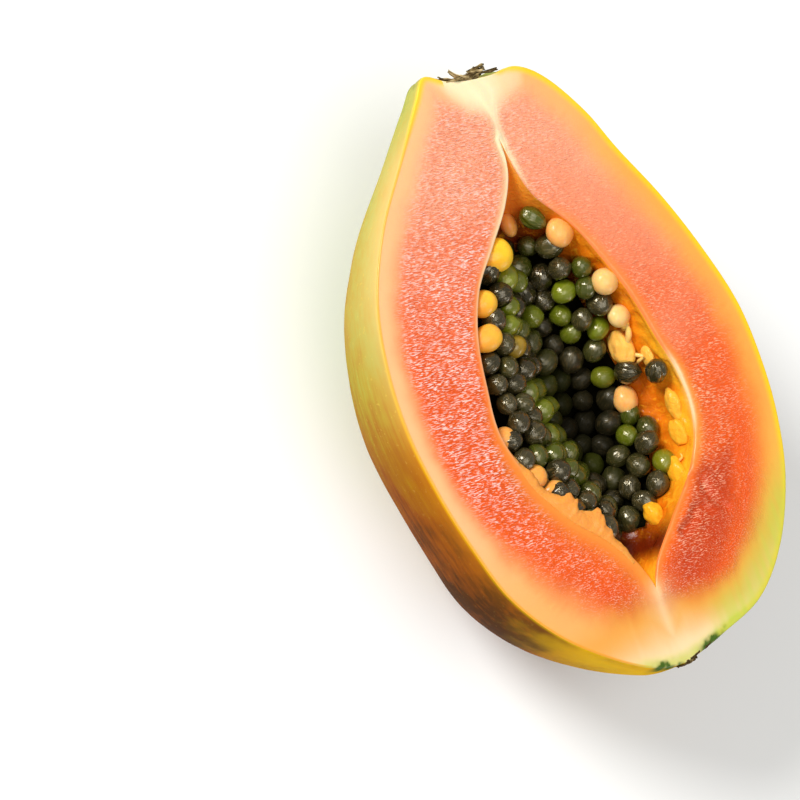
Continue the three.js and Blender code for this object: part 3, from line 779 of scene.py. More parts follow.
def unripe_seed_skin(colours):
    """The skin of a seed that never ripened: plump, wet and see-through, from yellow to cream."""
    material, tree = new_material("unripe_seed_skin")
    spot = node(tree, "Attribute", attribute_name="seed_place").outputs["Vector"]
    tone = node(tree, "Attribute", attribute_name="tone").outputs["Fac"]
    clouds = node(tree, "TexNoise", {"Vector": spot, "Scale": 1.4, "Detail": 3.0}).outputs["Fac"]
    uneven = node(tree, "MapRange", {"Value": clouds, "To Min": -0.25, "To Max": 0.25}).outputs[0]
    shifted = node(tree, "Math", {0: tone, 1: uneven}).outputs[0]
    colour = node(tree, "ValToRGB", {"Fac": shifted}, stops=[
        (0.0, colours.pale_seed_yellow), (0.5, colours.pale_seed_orange), (1.0, colours.pale_seed_cream),
    ]).outputs[0]
    # They are more orange towards the wall that they grow on, partly painted shade where they meet it.
    up = node(tree, "SeparateXYZ", {0: spot}).outputs["Z"]
    root_orange_and_shade = node(tree, "MapRange", {
        "Value": up, "From Min": 0.3, "From Max": -0.9, "To Max": 0.7,
    }).outputs[0]
    colour = node(tree, "Mix", {
        MIX_FACTOR: root_orange_and_shade, MIX_A: colour, MIX_B: colours.pale_seed_root,
    }, data_type="RGBA").outputs[MIX_RESULT]
    bump = node(tree, "Bump", {"Height": clouds, "Strength": 0.3, "Distance": 0.0006}).outputs[0]
    surface = node(tree, "BsdfPrincipled", {
        "Base Color": colour, "Normal": bump, "Roughness": 0.3, "IOR": 1.38, "Specular IOR Level": 0.4,
        "Subsurface Weight": 0.5, "Subsurface Radius": (1.0, 0.55, 0.15), "Subsurface Scale": 0.003,
        "Coat Weight": 0.1, "Coat Roughness": 0.15,
    }).outputs[0]
    node(tree, "OutputMaterial", {"Surface": surface})
    return material


def dried_stalk(colours):
    """Dried stalk and calyx tissue: papery and cracked, dull, tan with darker brown in its folds."""
    material, tree = new_material("dried_stalk")
    place = node(tree, "TexCoord").outputs["Object"]
    mm = node(tree, "VectorMath", {0: place, "Scale": TO_MM}, operation="SCALE").outputs[0]
    tan = node(tree, "Attribute", attribute_name="tan").outputs["Fac"]
    along = node(tree, "Attribute", attribute_name="fibre_place").outputs["Vector"]
    # Fibres of 0.3 mm run along each flake.
    fibres = node(tree, "TexNoise", {"Vector": along, "Scale": 1.0, "Detail": 4.0}).outputs["Fac"]
    blotches = node(tree, "TexNoise", {"Vector": mm, "Scale": 0.7, "Detail": 3.0}).outputs["Fac"]
    uneven = node(tree, "Math", {0: fibres, 1: blotches}).outputs[0]
    uneven = node(tree, "MapRange", {
        "Value": uneven, "From Min": 0.6, "From Max": 1.4, "To Min": -0.4, "To Max": 0.4,
    }).outputs[0]
    tone = node(tree, "Math", {0: tan, 1: uneven}).outputs[0]
    colour = node(tree, "ValToRGB", {"Fac": tone}, stops=[
        (0.0, colours.scar_dark), (0.45, colours.scar_brown), (1.0, colours.scar_tan),
    ]).outputs[0]
    bump = node(tree, "Bump", {"Height": fibres, "Strength": 0.6, "Distance": 0.0003}).outputs[0]
    surface = node(tree, "BsdfPrincipled", {
        "Base Color": colour, "Normal": bump, "Roughness": 0.9, "IOR": 1.45, "Specular IOR Level": 0.02,
    }).outputs[0]
    node(tree, "OutputMaterial", {"Surface": surface})
    return material


def studio_paper(colours):
    """Seamless paper: matt and plain."""
    material, tree = new_material("studio_paper")
    surface = node(tree, "BsdfPrincipled", {"Base Color": colours.floor, "Roughness": 0.9}).outputs[0]
    node(tree, "OutputMaterial", {"Surface": surface})
    return material


# ---------------------------------------------------------------- sizes and colours a user may change

class PapayaSizes(bpy.types.PropertyGroup):
    ripple: bpy.props.FloatProperty(
        name="Ripple height", description="Height of the ripples that the knife leaves on the flesh",
        default=0.00012, min=0, max=0.001, precision=5, unit="LENGTH",
    )
    lip: bpy.props.FloatProperty(
        name="Rim roundness", description="Radius of the rounded rim round the seed hollow",
        default=0.0007, min=0.0001, max=0.002, precision=5, unit="LENGTH",
    )
    fold: bpy.props.FloatProperty(
        name="Lining folds", description="How far the folds of the hollow's lining stand out",
        default=0.001, min=0, max=0.003, precision=5, unit="LENGTH",
    )
    wrinkle: bpy.props.FloatProperty(
        name="Seed wrinkles", description="Height of the wrinkles of a ripe seed",
        default=0.0002, min=0, max=0.001, precision=5, unit="LENGTH",
    )
    flake: bpy.props.FloatProperty(
        name="Flake thickness", description="Thickness of the dry flakes at the two ends",
        default=0.0004, min=0.0001, max=0.001, precision=5, unit="LENGTH",
    )


def colour_property(name, description, hex_colour):
    return bpy.props.FloatVectorProperty(
        name=name, description=description, subtype="COLOR", size=4, min=0, max=1,
        default=linear(hex_colour),
    )


class PapayaColours(bpy.types.PropertyGroup):
    flesh_pale: colour_property("Pale flesh", "Flesh towards the stem end", "fba27c")
    flesh: colour_property("Flesh", "Flesh in the middle", "f05f1e")
    flesh_red: colour_property("Red flesh", "Flesh towards the blossom end", "ee5a0c")
    # The ripest flesh, and also the painted shade in the ripples' hollows.
    flesh_deep: colour_property("Deep red flesh", "The ripest flesh", "ca3e08")
    # Pale flecks on the ripple tops: partly the cells' own colour, partly painted highlight.
    flesh_fleck: colour_property("Flesh flecks", "Cut cells that stand up and catch the light", "ffd6cc")
    flesh_spark: colour_property("Flesh sparks", "The same on the sunny side", "ffb690")
    edge_peach: colour_property("Peach border", "Flesh next to the skin, on the left", "fdb880")
    edge_amber: colour_property("Amber border", "Flesh next to the skin, on the right", "f9a648")
    rim_orange: colour_property("Orange border", "Flesh next to the hollow", "f8802a")
    rim_cream: colour_property("Cream rim", "The knife's edge round the hollow", "fdd07c")
    pulp_peach: colour_property("Torn pulp", "Flesh and pulp that the spoon tore", "f0923e")
    cream: colour_property("Cream ends", "Unripe flesh under the stem and at the blossom end", "f3e2b6")
    blossom_amber: colour_property("Blossom border", "Half ripe flesh above the blossom end", "e8a246")
    skin_orange: colour_property(
        "Left skin edge", "The skin where the knife went through it, on the left", "efa02c",
    )
    skin_yellow: colour_property("Skin edge", "The skin where the knife went through it", "f6cc10")
    rind_lime: colour_property("Lime border", "Unripe border near the blossom end", "c2c84c")
    rind_green: colour_property("Rind green", "The greenest rind", "4a6a1a")
    rind_leaf: colour_property("Rind leaf green", "Lighter green rind", "9aa846")
    rind_olive: colour_property("Rind olive", "Rind that starts to turn", "a4901e")
    rind_gold: colour_property("Rind gold", "Ripe rind", "9c6604")
    rind_orange: colour_property("Rind orange", "The ripest rind", "8c4602")
    # Partly the painted shade of the lower rind.
    rind_brown: colour_property("Rind brown", "The darkest of the ripest rind", "4c2802")
    rind_amber: colour_property("Rind amber", "Ripe rind next to the cut", "c67a0e")
    rind_sun: colour_property("Rind sun yellow", "Yellow rind at the blossom end", "f2bc02")
    rind_frost: colour_property("Rind bloom", "Pale waxy rind near the stem", "d8b46e")
    rind_pore: colour_property("Rind pores", "Pale dots on the rind", "dcbc50")
    bruise_green: colour_property("Dark green patch", "Dark skin round the blossom scar", "44601a")
    lining_yellow: colour_property("Lining yellow", "Lining near the rim", "fdae24")
    lining_amber: colour_property("Lining amber", "Lining below the rim", "ee8c16")
    lining_orange: colour_property("Lining orange", "Lining half way down", "e2740e")
    # Deep down: the lining's own deeper red, and the painted shade there.
    lining_deep: colour_property("Lining deep", "Lining under the seeds", "6a1e04")
    seed_black: colour_property("Seed black", "The ripest seeds", "1b190b")
    seed_grey: colour_property("Seed grey", "Ripe seeds", "35301a")
    seed_green: colour_property("Seed green", "Seeds that are nearly ripe", "40480c")
    seed_leaf: colour_property("Seed leaf green", "Seeds that are half ripe", "6a7410")
    seed_olive: colour_property("Seed olive", "Seeds that are yet to turn", "9a7a1e")
    # The painted shade of seeds and pulp deep in the hollow.
    seed_shadow: colour_property("Seed shadow", "Seeds and pulp deep in the hollow", "080703")
    seed_glint: colour_property(
        "Seed glint", "The warm tint of the light that the seeds' jelly throws back", "fff0cc",
    )
    seed_line: colour_property("Seed wrinkles", "What the wrinkles add to a seed's colour", "7a6238")
    pale_seed_yellow: colour_property("Yellow unripe seeds", "Unripe seeds at their yellowest", "f9c42c")
    pale_seed_orange: colour_property("Orange unripe seeds", "Unripe seeds at their reddest", "f4a24c")
    # Partly the seeds' own colour at the root, partly painted shade where they meet the wall.
    pale_seed_root: colour_property("Unripe seed roots", "Where they grow on the wall", "e07a20")
    pale_seed_cream: colour_property("Cream unripe seeds", "Unripe seeds at their palest", "f0ca80")
    scar_tan: colour_property("Scar tan", "Dry flakes where they are pale", "e4cc9c")
    scar_brown: colour_property("Scar brown", "Dry flakes", "a48e60")
    scar_dark: colour_property("Scar dark", "Their folds and burnt tips", "4c3c24")
    floor: colour_property("Floor", "The studio's paper", "f6f6f4")


def finish_of(maker):
    """The material that a maker makes, made once and named for it."""
    return bpy.data.materials.get(maker.__name__) or maker(bpy.context.scene.papaya_colours)


# ---------------------------------------------------------------- the cut half

STATIONS, WALL_COLUMNS, FACE_COLUMNS, RIND_COLUMNS = 444, 64, 52, 48
LINING, FLESH, RIND = range(3)
SKIN_ROUND = 0.3  # radius of the skin's edge

# Where the cream patch under the stem ends, as x and y.
STEM_BORDER = [
    (-13, 91), (-9, 86), (-6, 80), (-2.5, 75.8), (1, 74.2), (5, 73.6), (9, 74.2), (13, 76), (17, 79.4),
    (22, 89),
]
# Places where the flesh is at its reddest: x, y and reach.
RED_PLACES = [
    (-34, -16, 6), (31, -49, 9), (25, -41, 6), (12, -60, 6), (41, -38, 8),
]
# Soft creases in the flesh beside the hollow, where a lobe of pulp grows out of it.
CREASES = [
    [(20.5, -38), (25.4, -40.4), (26.2, -44.9), (27.8, -47.9), (30.2, -50.6)],
    [(14, -51.5), (18, -50), (21, -47.6), (24, -48.5)],
]
CREASE_DEEP, CREASE_WIDE = 0.58, 1.25
# The swelling on each side of a crease: its height, and how far off it is and how wide.
SWELLING_HIGH, SWELLING_OFF, SWELLING_WIDE = 0.26, 2.8, 1.4
# Dark patches of skin beside the blossom scar: x, y and reach.
DARK_PLACES = [
    (-9.2, -83.4, 1.6), (-6.8, -84.6, 1.8), (-4.6, -85.4, 1.6), (7.6, -83.8, 1.7), (9.8, -83, 1.9),
    (12.2, -82.3, 1.8),
]


def gathered(count, gather):
    """Numbers from 0 to 1 that lie closer together towards both ends."""
    q = np.linspace(0, 1, count + 1)
    return q - gather * np.sin(2 * np.pi * q) / (2 * np.pi)


def even_stations(count):
    """Stations at equal steps along the outline and the rims, on average."""
    fine = np.linspace(0, 1, 2001)
    steps = 0
    for line in (left, right, rim_left, rim_right):
        x, y = line(fine)
        steps = steps + np.hypot(np.diff(x), np.diff(y))
    travelled = np.concatenate([[0], np.cumsum(steps)])
    return np.interp(np.linspace(0, travelled[-1], count), travelled, fine)


def nearest(lines, x, y):
    """How far each place is from the nearest point of the lines, in the plane of the cut."""
    fine = np.linspace(0, 1, 900)
    dots = [dot for line in lines for dot in zip(*line(fine))]
    tree = KDTree(len(dots))
    for i, (px, py) in enumerate(dots):
        tree.insert((px, py, 0), i)
    tree.balance()
    found = [tree.find((px, py, 0))[2] for px, py in zip(x.ravel().tolist(), y.ravel().tolist())]
    return np.array(found).reshape(x.shape)


def beside(points, x, y):
    """How far each place is to the right of a line that runs down the fruit."""
    points = sorted(points, key=lambda p: p[1])
    return x - np.interp(y, [p[1] for p in points], [p[0] for p in points])


def rounded_edge(distance, radius):
    """How far a rounded edge has dropped at a distance in from it."""
    radius = np.maximum(radius, 1e-6)
    return radius * (1 - np.sqrt(1 - (1 - clamp(distance / radius)) ** 2))


def places(spots, x, y):
    """From 0 to 1, how much each place belongs to one of the spots."""
    total = 0
    for px, py, reach in spots:
        total = np.maximum(total, np.exp(-((x - px) ** 2 + (y - py) ** 2) / reach**2))
    return total


def cut_band(inner, outer, t, lip):
    """The cut face from the hollow's rim to the skin, rounded at both edges."""
    width = np.hypot(outer[0] - inner[0], outer[1] - inner[1])
    drop = rounded_edge(t * width, lip) + rounded_edge((1 - t) * width, np.full_like(width, SKIN_ROUND))
    return lerp(inner[0], outer[0], t), lerp(inner[1], outer[1], t), -drop


def skin_grid(sizes):
    """The half's whole skin, smooth. Each station has a row of points that runs over the hollow's
    lining from left to right, over the cut face's right side, under along the rind and back over the
    cut face's left side. The grid holds, for each point, its place, its station and its place across
    the lining or round the rind, what it is part of, and how far it is from the skin, from the
    hollow's rim and below the cut."""
    s = even_stations(STATIONS)[:, None]
    in_left, in_right, out_left, out_right = rim_left(s), rim_right(s), left(s), right(s)
    depth = np.maximum(cavity_depth(s), 0)
    lip = np.minimum(TO_MM * sizes.lip, np.minimum(0.35 * (in_right[0] - in_left[0]), 0.5 * depth))

    u = np.cos(np.pi * (1 - gathered(WALL_COLUMNS, 0.7)))[None, :]
    t = gathered(FACE_COLUMNS, 0.55)[None, :]
    phi = np.pi * gathered(RIND_COLUMNS, 0.6)[None, 1:]
    lining = (*plan_point(s, u), -lip + wall_level(s, u) * (1 - lip / np.maximum(depth, 1e-6)))
    rind_x, rind_y, rind_z = rind_point(s, phi)
    bands = [
        lining, cut_band(in_right, out_right, t[:, 1:], lip), (rind_x, rind_y, -np.hypot(rind_z, SKIN_ROUND)),
        cut_band(in_left, out_left, t[:, -2:0:-1], lip),
    ]
    x, y, z = (np.concatenate([band[axis] for band in bands], axis=1) for axis in range(3))
    kinds = np.repeat([LINING, FLESH, RIND, FLESH], [band[0].shape[1] for band in bands])

    grid = SimpleNamespace(x=x, y=y, z=z, kinds=kinds, s=np.broadcast_to(s, x.shape))
    grid.wall, grid.cut, grid.rind = [
        np.broadcast_to(kinds == kind, x.shape) for kind in (LINING, FLESH, RIND)
    ]
    grid.u, grid.phi = np.zeros_like(x), np.zeros_like(x)
    grid.u[:, kinds == LINING] = u
    grid.phi[:, kinds == RIND] = phi
    grid.on_left = x < (in_left[0] + in_right[0]) / 2
    grid.from_skin = nearest([left, right], x, y)
    grid.from_rim = nearest([rim_left, rim_right], x, y)
    grid.below = np.where(grid.cut, 0, np.maximum(-z, 0))
    return grid


def cream_patches(x, y):
    """Unripe flesh: under the stem, at the blossom end with its amber border, and along the seams."""
    xs, ys = zip(*STEM_BORDER)
    uneven = 1.2 * noise(x / 5, y / 5, seed=31)
    stem = smoothstep(y - np.interp(x, xs, ys) + uneven, -3.2, 6.8)
    stem = stem * (1 - 0.4 * smoothstep(x, 4, 12))
    border = blossom_border(clamp((x - BORDER_FROM) / (BORDER_TO - BORDER_FROM)))
    soft = lerp(9, 6.5, smoothstep(x, -5, 5))
    streaks = 0.5 * noise(x / 1.3, y / 9, seed=32) + 1.2 * noise(x / 6, y / 8, seed=33)
    past = (border - y + streaks) / soft
    amber, blossom = smoothstep(past, -1.0, 0.5), smoothstep(past, 0.0, 1.6)
    blossom = blossom * lerp(0.5, 0.78, smoothstep(-y, 72, 82))
    low = (y < -58) & (y > -86)
    off_seam = beside(BLOSSOM_SEAM, x, y)
    seam = np.where(low, 0.4 * bell(off_seam, 1.5) + 0.4 * bell(off_seam, 5), 0) * smoothstep(-y, 58, 64)
    high = (y > 59) & (y < 86)
    stem_seam = np.where(high, bell(beside(STEM_SEAM, x, y) + 1, 1.7), 0) * smoothstep(y, 59, 67)
    blossom, amber = np.maximum(blossom, 0.6 * clamp(seam)), np.maximum(amber, 0.7 * clamp(seam))
    return stem, blossom, amber, 0.75 * stem_seam


def flesh_zones(grid):
    """Where the flesh differs, mostly from 0 to 1: the cream patches, the orange border round the
    hollow and how wide it is, the left side's lower half, the grainy part, and how far the nearest
    crease is."""
    x, y, on_left = grid.x, grid.y, grid.on_left
    stem, blossom, amber, seam = cream_patches(x, y)
    lower = smoothstep(-y, -10, 32) * on_left
    band = np.where(on_left, lerp(2.3, 5.2, lower), 2.6)
    orange = bell(grid.from_rim, band) * np.where(
        on_left, 0.85 + 0.15 * lower, 0.75 * (1 - smoothstep(y, 35, 58)),
    )
    grainy = smoothstep(-y, 10, 52) * lerp(0.5, 0.85, smoothstep(x, -5, 15))
    grainy = clamp(smoothstep(x, 0, 30) * 0.25 + grainy)
    # The ripples come back beside the hollow, on the right.
    rippled = 0.8 * smoothstep(x, 2, 14) * smoothstep(-y, 0, 22) * (1 - smoothstep(grid.from_rim, 9, 19))
    grainy = grainy * (1 - rippled)
    creased = nearest([line_through(line) for line in CREASES], x, y)
    return SimpleNamespace(
        stem=stem, blossom=blossom, amber=amber, seam=seam, lower=lower, band=band, orange=orange,
        grainy=grainy, creased=creased,
    )


def cut_relief(grid, zones, sizes):
    """The height of the cut surface: ripples, gentle hollows, the seams' grooves and the creases."""
    x, y, from_skin = grid.x, grid.y, grid.from_skin
    across = rough(x / 3.0, y / 0.8, seed=11, octaves=2)
    grains = rough(x / 1.1, y / 1.0, seed=12, octaves=2)
    ripple = lerp(across, grains, 0.75 * zones.grainy)
    calm = np.maximum(np.maximum(zones.stem, zones.amber), zones.orange)
    fade = smoothstep(from_skin, 2.5, 7) * (1 - 0.8 * calm)
    hollows = 0.16 * noise(x / 9, y / 7, seed=13) * smoothstep(from_skin, 0, 6)
    height = TO_MM * sizes.ripple * 1.7 * ripple * fade + hollows

    stem = np.where((y > 60) & (y < 90), beside(STEM_SEAM, x, y), 99)
    deep = lerp(0.6, 0.1, smoothstep(y, 62, 78))
    groove = -deep * smoothstep(stem, -1.4, 1.4) * np.exp(-np.maximum(stem, 0) / 5)
    height = height + (groove + 0.3 * bell(stem + 2.4, 2)) * smoothstep(y, 60, 64)
    blossom = np.where(y < -62, beside(BLOSSOM_SEAM, x, y), 99)
    height = height - 0.04 * bell(blossom, 1.2)

    height = height - CREASE_DEEP * bell(zones.creased, CREASE_WIDE)
    height = height + SWELLING_HIGH * bell(zones.creased - SWELLING_OFF, SWELLING_WIDE)
    return height * (smoothstep(from_skin, 0, 0.8) * smoothstep(grid.from_rim, 0, 0.5))


def grid_normals(points):
    """Outward directions of a closed-loop grid of points."""
    along = np.gradient(points, axis=0)
    wrapped = np.concatenate([points[:, -1:], points, points[:, :1]], axis=1)
    around = (wrapped[:, 2:] - wrapped[:, :-2]) / 2
    normals = np.cross(around, along)
    normals /= np.maximum(np.linalg.norm(normals, axis=-1, keepdims=True), 1e-9)
    middle = len(points) // 2
    under = points[middle, :, 2].argmin()
    return normals if normals[middle, under, 2] < 0 else -normals


def wall_folds(grid, sizes):
    """How far the lining stands into the hollow: folds and creases, and a ledge under the right rim."""
    x, y, z, s = grid.x, grid.y, grid.z, grid.s
    below = -z
    tame = smoothstep(s, 0.2, 0.32) * (1 - smoothstep(s, 0.86, 0.95))
    into = smoothstep(below, 0.8, 4)
    creases = 1 - 2 * np.abs(noise(x / 6, y / 5 + z / 6, z / 7, seed=21))
    folds = 1.1 * rough(x / 6, y / 5, z / 5.5, seed=22, octaves=2) + 0.5 * creases
    relief = TO_MM * sizes.fold * folds * into * tame
    edge = 2.7 + 0.9 * noise(y / 2.6, 0, seed=23)
    ledge = smoothstep(grid.u, 0.3, 0.6) * smoothstep(s, 0.27, 0.33) * (1 - smoothstep(s, 0.57, 0.64))
    shelf = ledge * smoothstep(below, 0.2, 0.9) * (1 - smoothstep(below, edge - 0.35, edge + 0.35))
    return relief + 0.35 * shelf


def rind_relief(grid):
    """Folds that run out from the two ends, and the gentle unevenness of the rest."""
    x, y, z, s, phi = grid.x, grid.y, grid.z, grid.s, grid.phi
    stem = smoothstep(s, 0.004, 0.03) * (1 - smoothstep(s, 0.05, 0.24))
    blossom = (1 - smoothstep(s, 0.985, 0.998)) * smoothstep(s, 0.86, 0.97)
    wander = 1.4 * noise(s * 5, phi * 2, seed=41)
    folds = 0.55 * stem * np.sin(13 * phi + wander) + 0.35 * blossom * np.sin(10 * phi + 2 + wander)
    swells = 0.28 * rough(x / 14, y / 20, z / 14, seed=42) + 0.06 * rough(x / 3, y / 6, z / 3, seed=43)
    inside = np.sin(phi) ** 0.5 * smoothstep(s, 0, 0.03) * (1 - smoothstep(s, 0.97, 1))
    return folds * np.sin(phi) ** 0.5 + swells * inside


def raised_skin(grid, zones, sizes):
    """The skin's points with their relief: the cut's height, the lower left rim's sag, the lining's
    folds and the rind's unevenness."""
    points = np.stack([grid.x, grid.y, grid.z], axis=-1)
    normals = grid_normals(points)
    points[..., 2] += np.where(grid.cut, cut_relief(grid, zones, sizes), 0)
    sag = zones.lower * smoothstep(grid.y, -62, -56)
    sag = sag * np.exp(-((grid.from_rim / zones.band) ** 2) - np.maximum(-grid.z, 0) / 4)
    points[..., 2] -= np.where(grid.cut | grid.wall, sag, 0)
    push = np.where(grid.wall, wall_folds(grid, sizes), 0) + np.where(grid.rind, rind_relief(grid), 0)
    points += normals * push[..., None]
    points[..., 2] = np.maximum(points[..., 2], FLAT_SPOT_Z)
    return points


def rim_line(grid):
    """The pale line that the knife left round the hollow, strongest high up on the left."""
    y, on_left = grid.y, grid.on_left
    width = 0.8 + np.where(on_left, 1.2 * smoothstep(y, 30, 55), 0.9 * smoothstep(y, 44, 60))
    strength = np.where(
        on_left, 0.55 + 0.45 * smoothstep(y, 12, 34),
        0.08 + 0.7 * smoothstep(14 - np.abs(y + 16), 0, 8) + 0.6 * smoothstep(y, 48, 60),
    )
    return bell(grid.from_rim, width) * strength * np.where(on_left, smoothstep(y, -30, 0), 1)


def ripeness(grid, zones):
    """How red the flesh is: more towards the blossom end, in places, and beside the right rim, and redder
    along the creases as painted shade.
    """
    x, y = grid.x, grid.y
    ripe = 0.42 - y / 150 - x / 420 + 0.07 * noise(x / 16, y / 14, seed=51)
    # Redder along the creases: painted shade.
    ripe = ripe + 0.18 * places(RED_PLACES, x, y) + 0.32 * bell(zones.creased, 2.0)
    on_right = smoothstep(x, 5, 30)
    ripe = ripe + 0.36 * smoothstep(-y, 15, 55) * on_right * (1 - smoothstep(grid.from_rim, 10, 24))
    # Near the skin, low on the right, it stays paler.
    held_back = smoothstep(-y, -5, 25) * on_right * (1 - smoothstep(grid.from_skin, 9, 22))
    return np.minimum(ripe, lerp(1.0, 0.46, held_back))


def lime_border(grid):
    """Unripe, greenish flesh next to the skin towards the blossom end, wider on the right."""
    x, y, from_skin = grid.x, grid.y, grid.from_skin
    low = smoothstep(-y, 34, 60)
    on_right = smoothstep(x, 8, 20) * smoothstep(-y, 24, 62) * (
        1 - smoothstep(from_skin, lerp(0.5, 3.5, low), lerp(9.5, 16, low))) * 0.8
    on_left = smoothstep(-y, 77, 82) * (1 - smoothstep(from_skin, 1, 4.5)) * 0.75
    return (on_right + on_left) * (0.85 + 0.15 * noise(x / 1.4, y / 8, seed=52))


def dark_patches(grid):
    """The dark green skin beside the blossom scar, with torn edges."""
    torn = 1.3 * noise(grid.x / 1.3, grid.y / 1.3, seed=54)
    near = 1.5 * places(DARK_PLACES, grid.x + torn, grid.y + torn)
    return near * (1 - smoothstep(grid.from_skin, 1.5, 3)) * bell(grid.below, 3.5)


def flesh_values(grid, zones):
    """What ripe_flesh reads at the points, apart from amber and cream. In mm: from_skin and inward, how far
    in from the skin a place is, and seems to be. From 0 to 1: ripe, from pale to red, with painted shade
    along the creases; sunny, the side with the wide amber border; lemon, where the skin's edge is yellow;
    lime, the greenish border; bruise, the dark skin; fibrous, where the cut shows ripples; orange, beside the
    hollow."""
    x, y = grid.x, grid.y
    # The skin ends where the stalk and the blossom sat.
    skinless = smoothstep(zones.stem, 0.5, 0.9) * (x > -7) + smoothstep(-y, 81.5, 83.5) * (np.abs(x) < 14)
    sunny = smoothstep(x, -12, 22) * (1 - 0.5 * smoothstep(y, 40, 80))
    return {
        # Towards the blossom end the orange border of the left side is wider.
        "inward": grid.from_skin * (1 - 0.36 * smoothstep(-y, 15, 52) * smoothstep(-x, 4, 22)),
        "from_skin": grid.from_skin + 3 * np.where(grid.cut, skinless, 0),
        "ripe": clamp(ripeness(grid, zones)),
        "sunny": np.maximum(sunny, 0.6 * smoothstep(-y, 22, 58)),
        "lemon": np.maximum(smoothstep(x, -12, 22), 0.8 * smoothstep(y, 66, 86)),
        "lime": clamp(lime_border(grid)),
        "bruise": clamp(dark_patches(grid)),
        "fibrous": 1 - zones.grainy,
        "orange": clamp(zones.orange),
    }


def lining_values(grid):
    """What moist_lining reads at the points, apart from cream. depth is in mm below the cut. From 0 to 1:
    bare, where painted shade darkens it past the heap; yellow and peach, where it is paler."""
    s = grid.s
    middle = smoothstep(s, 0.4, 0.5) * (1 - smoothstep(s, 0.74, 0.84))
    yellow = middle + 1 - smoothstep(s, 0.1, 0.24)
    return {
        "depth": grid.below,
        "bare": clamp(smoothstep(s, 0.8, 0.87) * (1 - smoothstep(s, 0.88, 0.93))),
        "yellow": np.maximum(yellow, smoothstep(s, 0.9, 0.95)),
        "peach": np.where(grid.wall, 0.45 * (1 - smoothstep(s, 0.14, 0.26)), 0),
    }


def rind_values(grid):
    """What waxy_rind reads at the points, apart from amber, depth and bruise. From 0 to 1:
    blush_and_painted_shade, from green over gold to brown, the brown end partly painted shade of the lower
    rind; frost, the pale bloom near the stem; sun, the yellow patch."""
    x, y, z, below = grid.x, grid.y, grid.z, grid.below
    clouds = rough(x / 24, y / 34, z / 24, seed=53)
    back = smoothstep(below, 34, 60)
    # Blush grows towards the blossom end and a little deeper under the cut; there it partly paints the lower
    # rind's shade.
    blush_and_painted_shade = 0.3 + 0.18 * clouds + 0.5 * smoothstep(-y, -35, 42) + 0.25 * smoothstep(-y, 38, 56)
    blush_and_painted_shade = blush_and_painted_shade - 0.5 * smoothstep(-y, 60, 78) - (0.12 + 0.3 * smoothstep(-y, -20, 40)) * back
    blush_and_painted_shade = blush_and_painted_shade + 0.06 * smoothstep(below, 6, 28)
    blush_and_painted_shade = blush_and_painted_shade - 0.12 * smoothstep(y, 58, 80)
    patchy = 9 * noise(x / 7, y / 11, z / 7, seed=55) + 3 * noise(x / 1.6, y / 6, z / 1.6, seed=56)
    sun = 0.85 * smoothstep(-y + patchy, 57, 81) * (1 - smoothstep(below + patchy, 6, 34))
    frost = smoothstep(y, -12, 50) * np.exp(-below / 13) * (0.9 - 0.55 * smoothstep(y, 66, 82))
    return {
        "blush_and_painted_shade": clamp(blush_and_painted_shade),
        "sun": clamp(sun * smoothstep(10 - x + patchy, 0, 24)),
        "frost": clamp(frost + 0.15 * clouds * smoothstep(y, -20, 30)),
    }


def amber_values(grid, zones):
    """Amber, from 0 to 1: on the cut it borders the cream patches and the hollow, and on the rind it
    runs along the cut."""
    y, below = grid.y, grid.below
    beside_right_rim = 0.6 * bell(grid.from_rim, 2.6) * (
        smoothstep(-y, 0, 12) * (1 - smoothstep(-y, 30, 40)))
    beside_rim = np.where(grid.on_left, 0.5 * zones.orange * zones.lower, beside_right_rim)
    along_cut = np.exp(-below / 5) * smoothstep(-y, -34, -4) * (0.85 - 0.5 * smoothstep(-y, 20, 50))
    return clamp(np.where(grid.rind, along_cut, np.maximum(zones.amber, beside_rim)))


def cream_values(grid, zones):
    """Cream, from 0 to 1: on the cut it is unripe flesh, the seams and the line round the hollow,
    and on the lining the knife's edge just below that line."""
    y, below, on_left = grid.y, grid.below, grid.on_left
    line = rim_line(grid)
    edge = bell(below, np.where(on_left, 0.9, 0.4))
    edge = edge * np.where(on_left, 0.35 + 0.5 * smoothstep(y, 20, 40), 0.1)
    on_wall_edge = np.maximum(line * bell(below, 1.4), edge) * (1 - 0.5 * smoothstep(-y, 20, 50))
    on_cut = clamp(np.maximum(zones.stem, zones.blossom) + zones.seam + 0.9 * line)
    return clamp(np.where(grid.wall, on_wall_edge, on_cut))


def half_fruit(sizes):
    """The cut half as one closed skin: the hollow's lining, the cut face on both sides and the rind."""
    grid = skin_grid(sizes)
    zones = flesh_zones(grid)
    values = {
        **flesh_values(grid, zones), **lining_values(grid), **rind_values(grid),
        "amber": amber_values(grid, zones), "cream": cream_values(grid, zones),
    }
    rows, columns = grid.x.shape
    shape = Shape()
    shape.add(
        raised_skin(grid, zones, sizes), grid_faces(rows, columns, closed=True),
        **{name: value.ravel() for name, value in values.items()},
    )
    # A face takes its finish from the point after it, and the last one of a row is flesh.
    kinds = np.append(grid.kinds[1:], FLESH)
    return shape, np.tile(kinds, rows - 1)


# ---------------------------------------------------------------- seeds and pulp

RIPE_ROWS, RIPE_COLUMNS = 17, 34
PALE_ROWS, PALE_COLUMNS = 25, 40
PALE_WRINKLE = 0.03
# The pulp under the seeds, painted as dark as shade: the stations and the places across between which it
# lies.
PULP_FROM, PULP_TO = 0.27, 0.83
PULP_LEFT, PULP_RIGHT = -0.94, 0.84


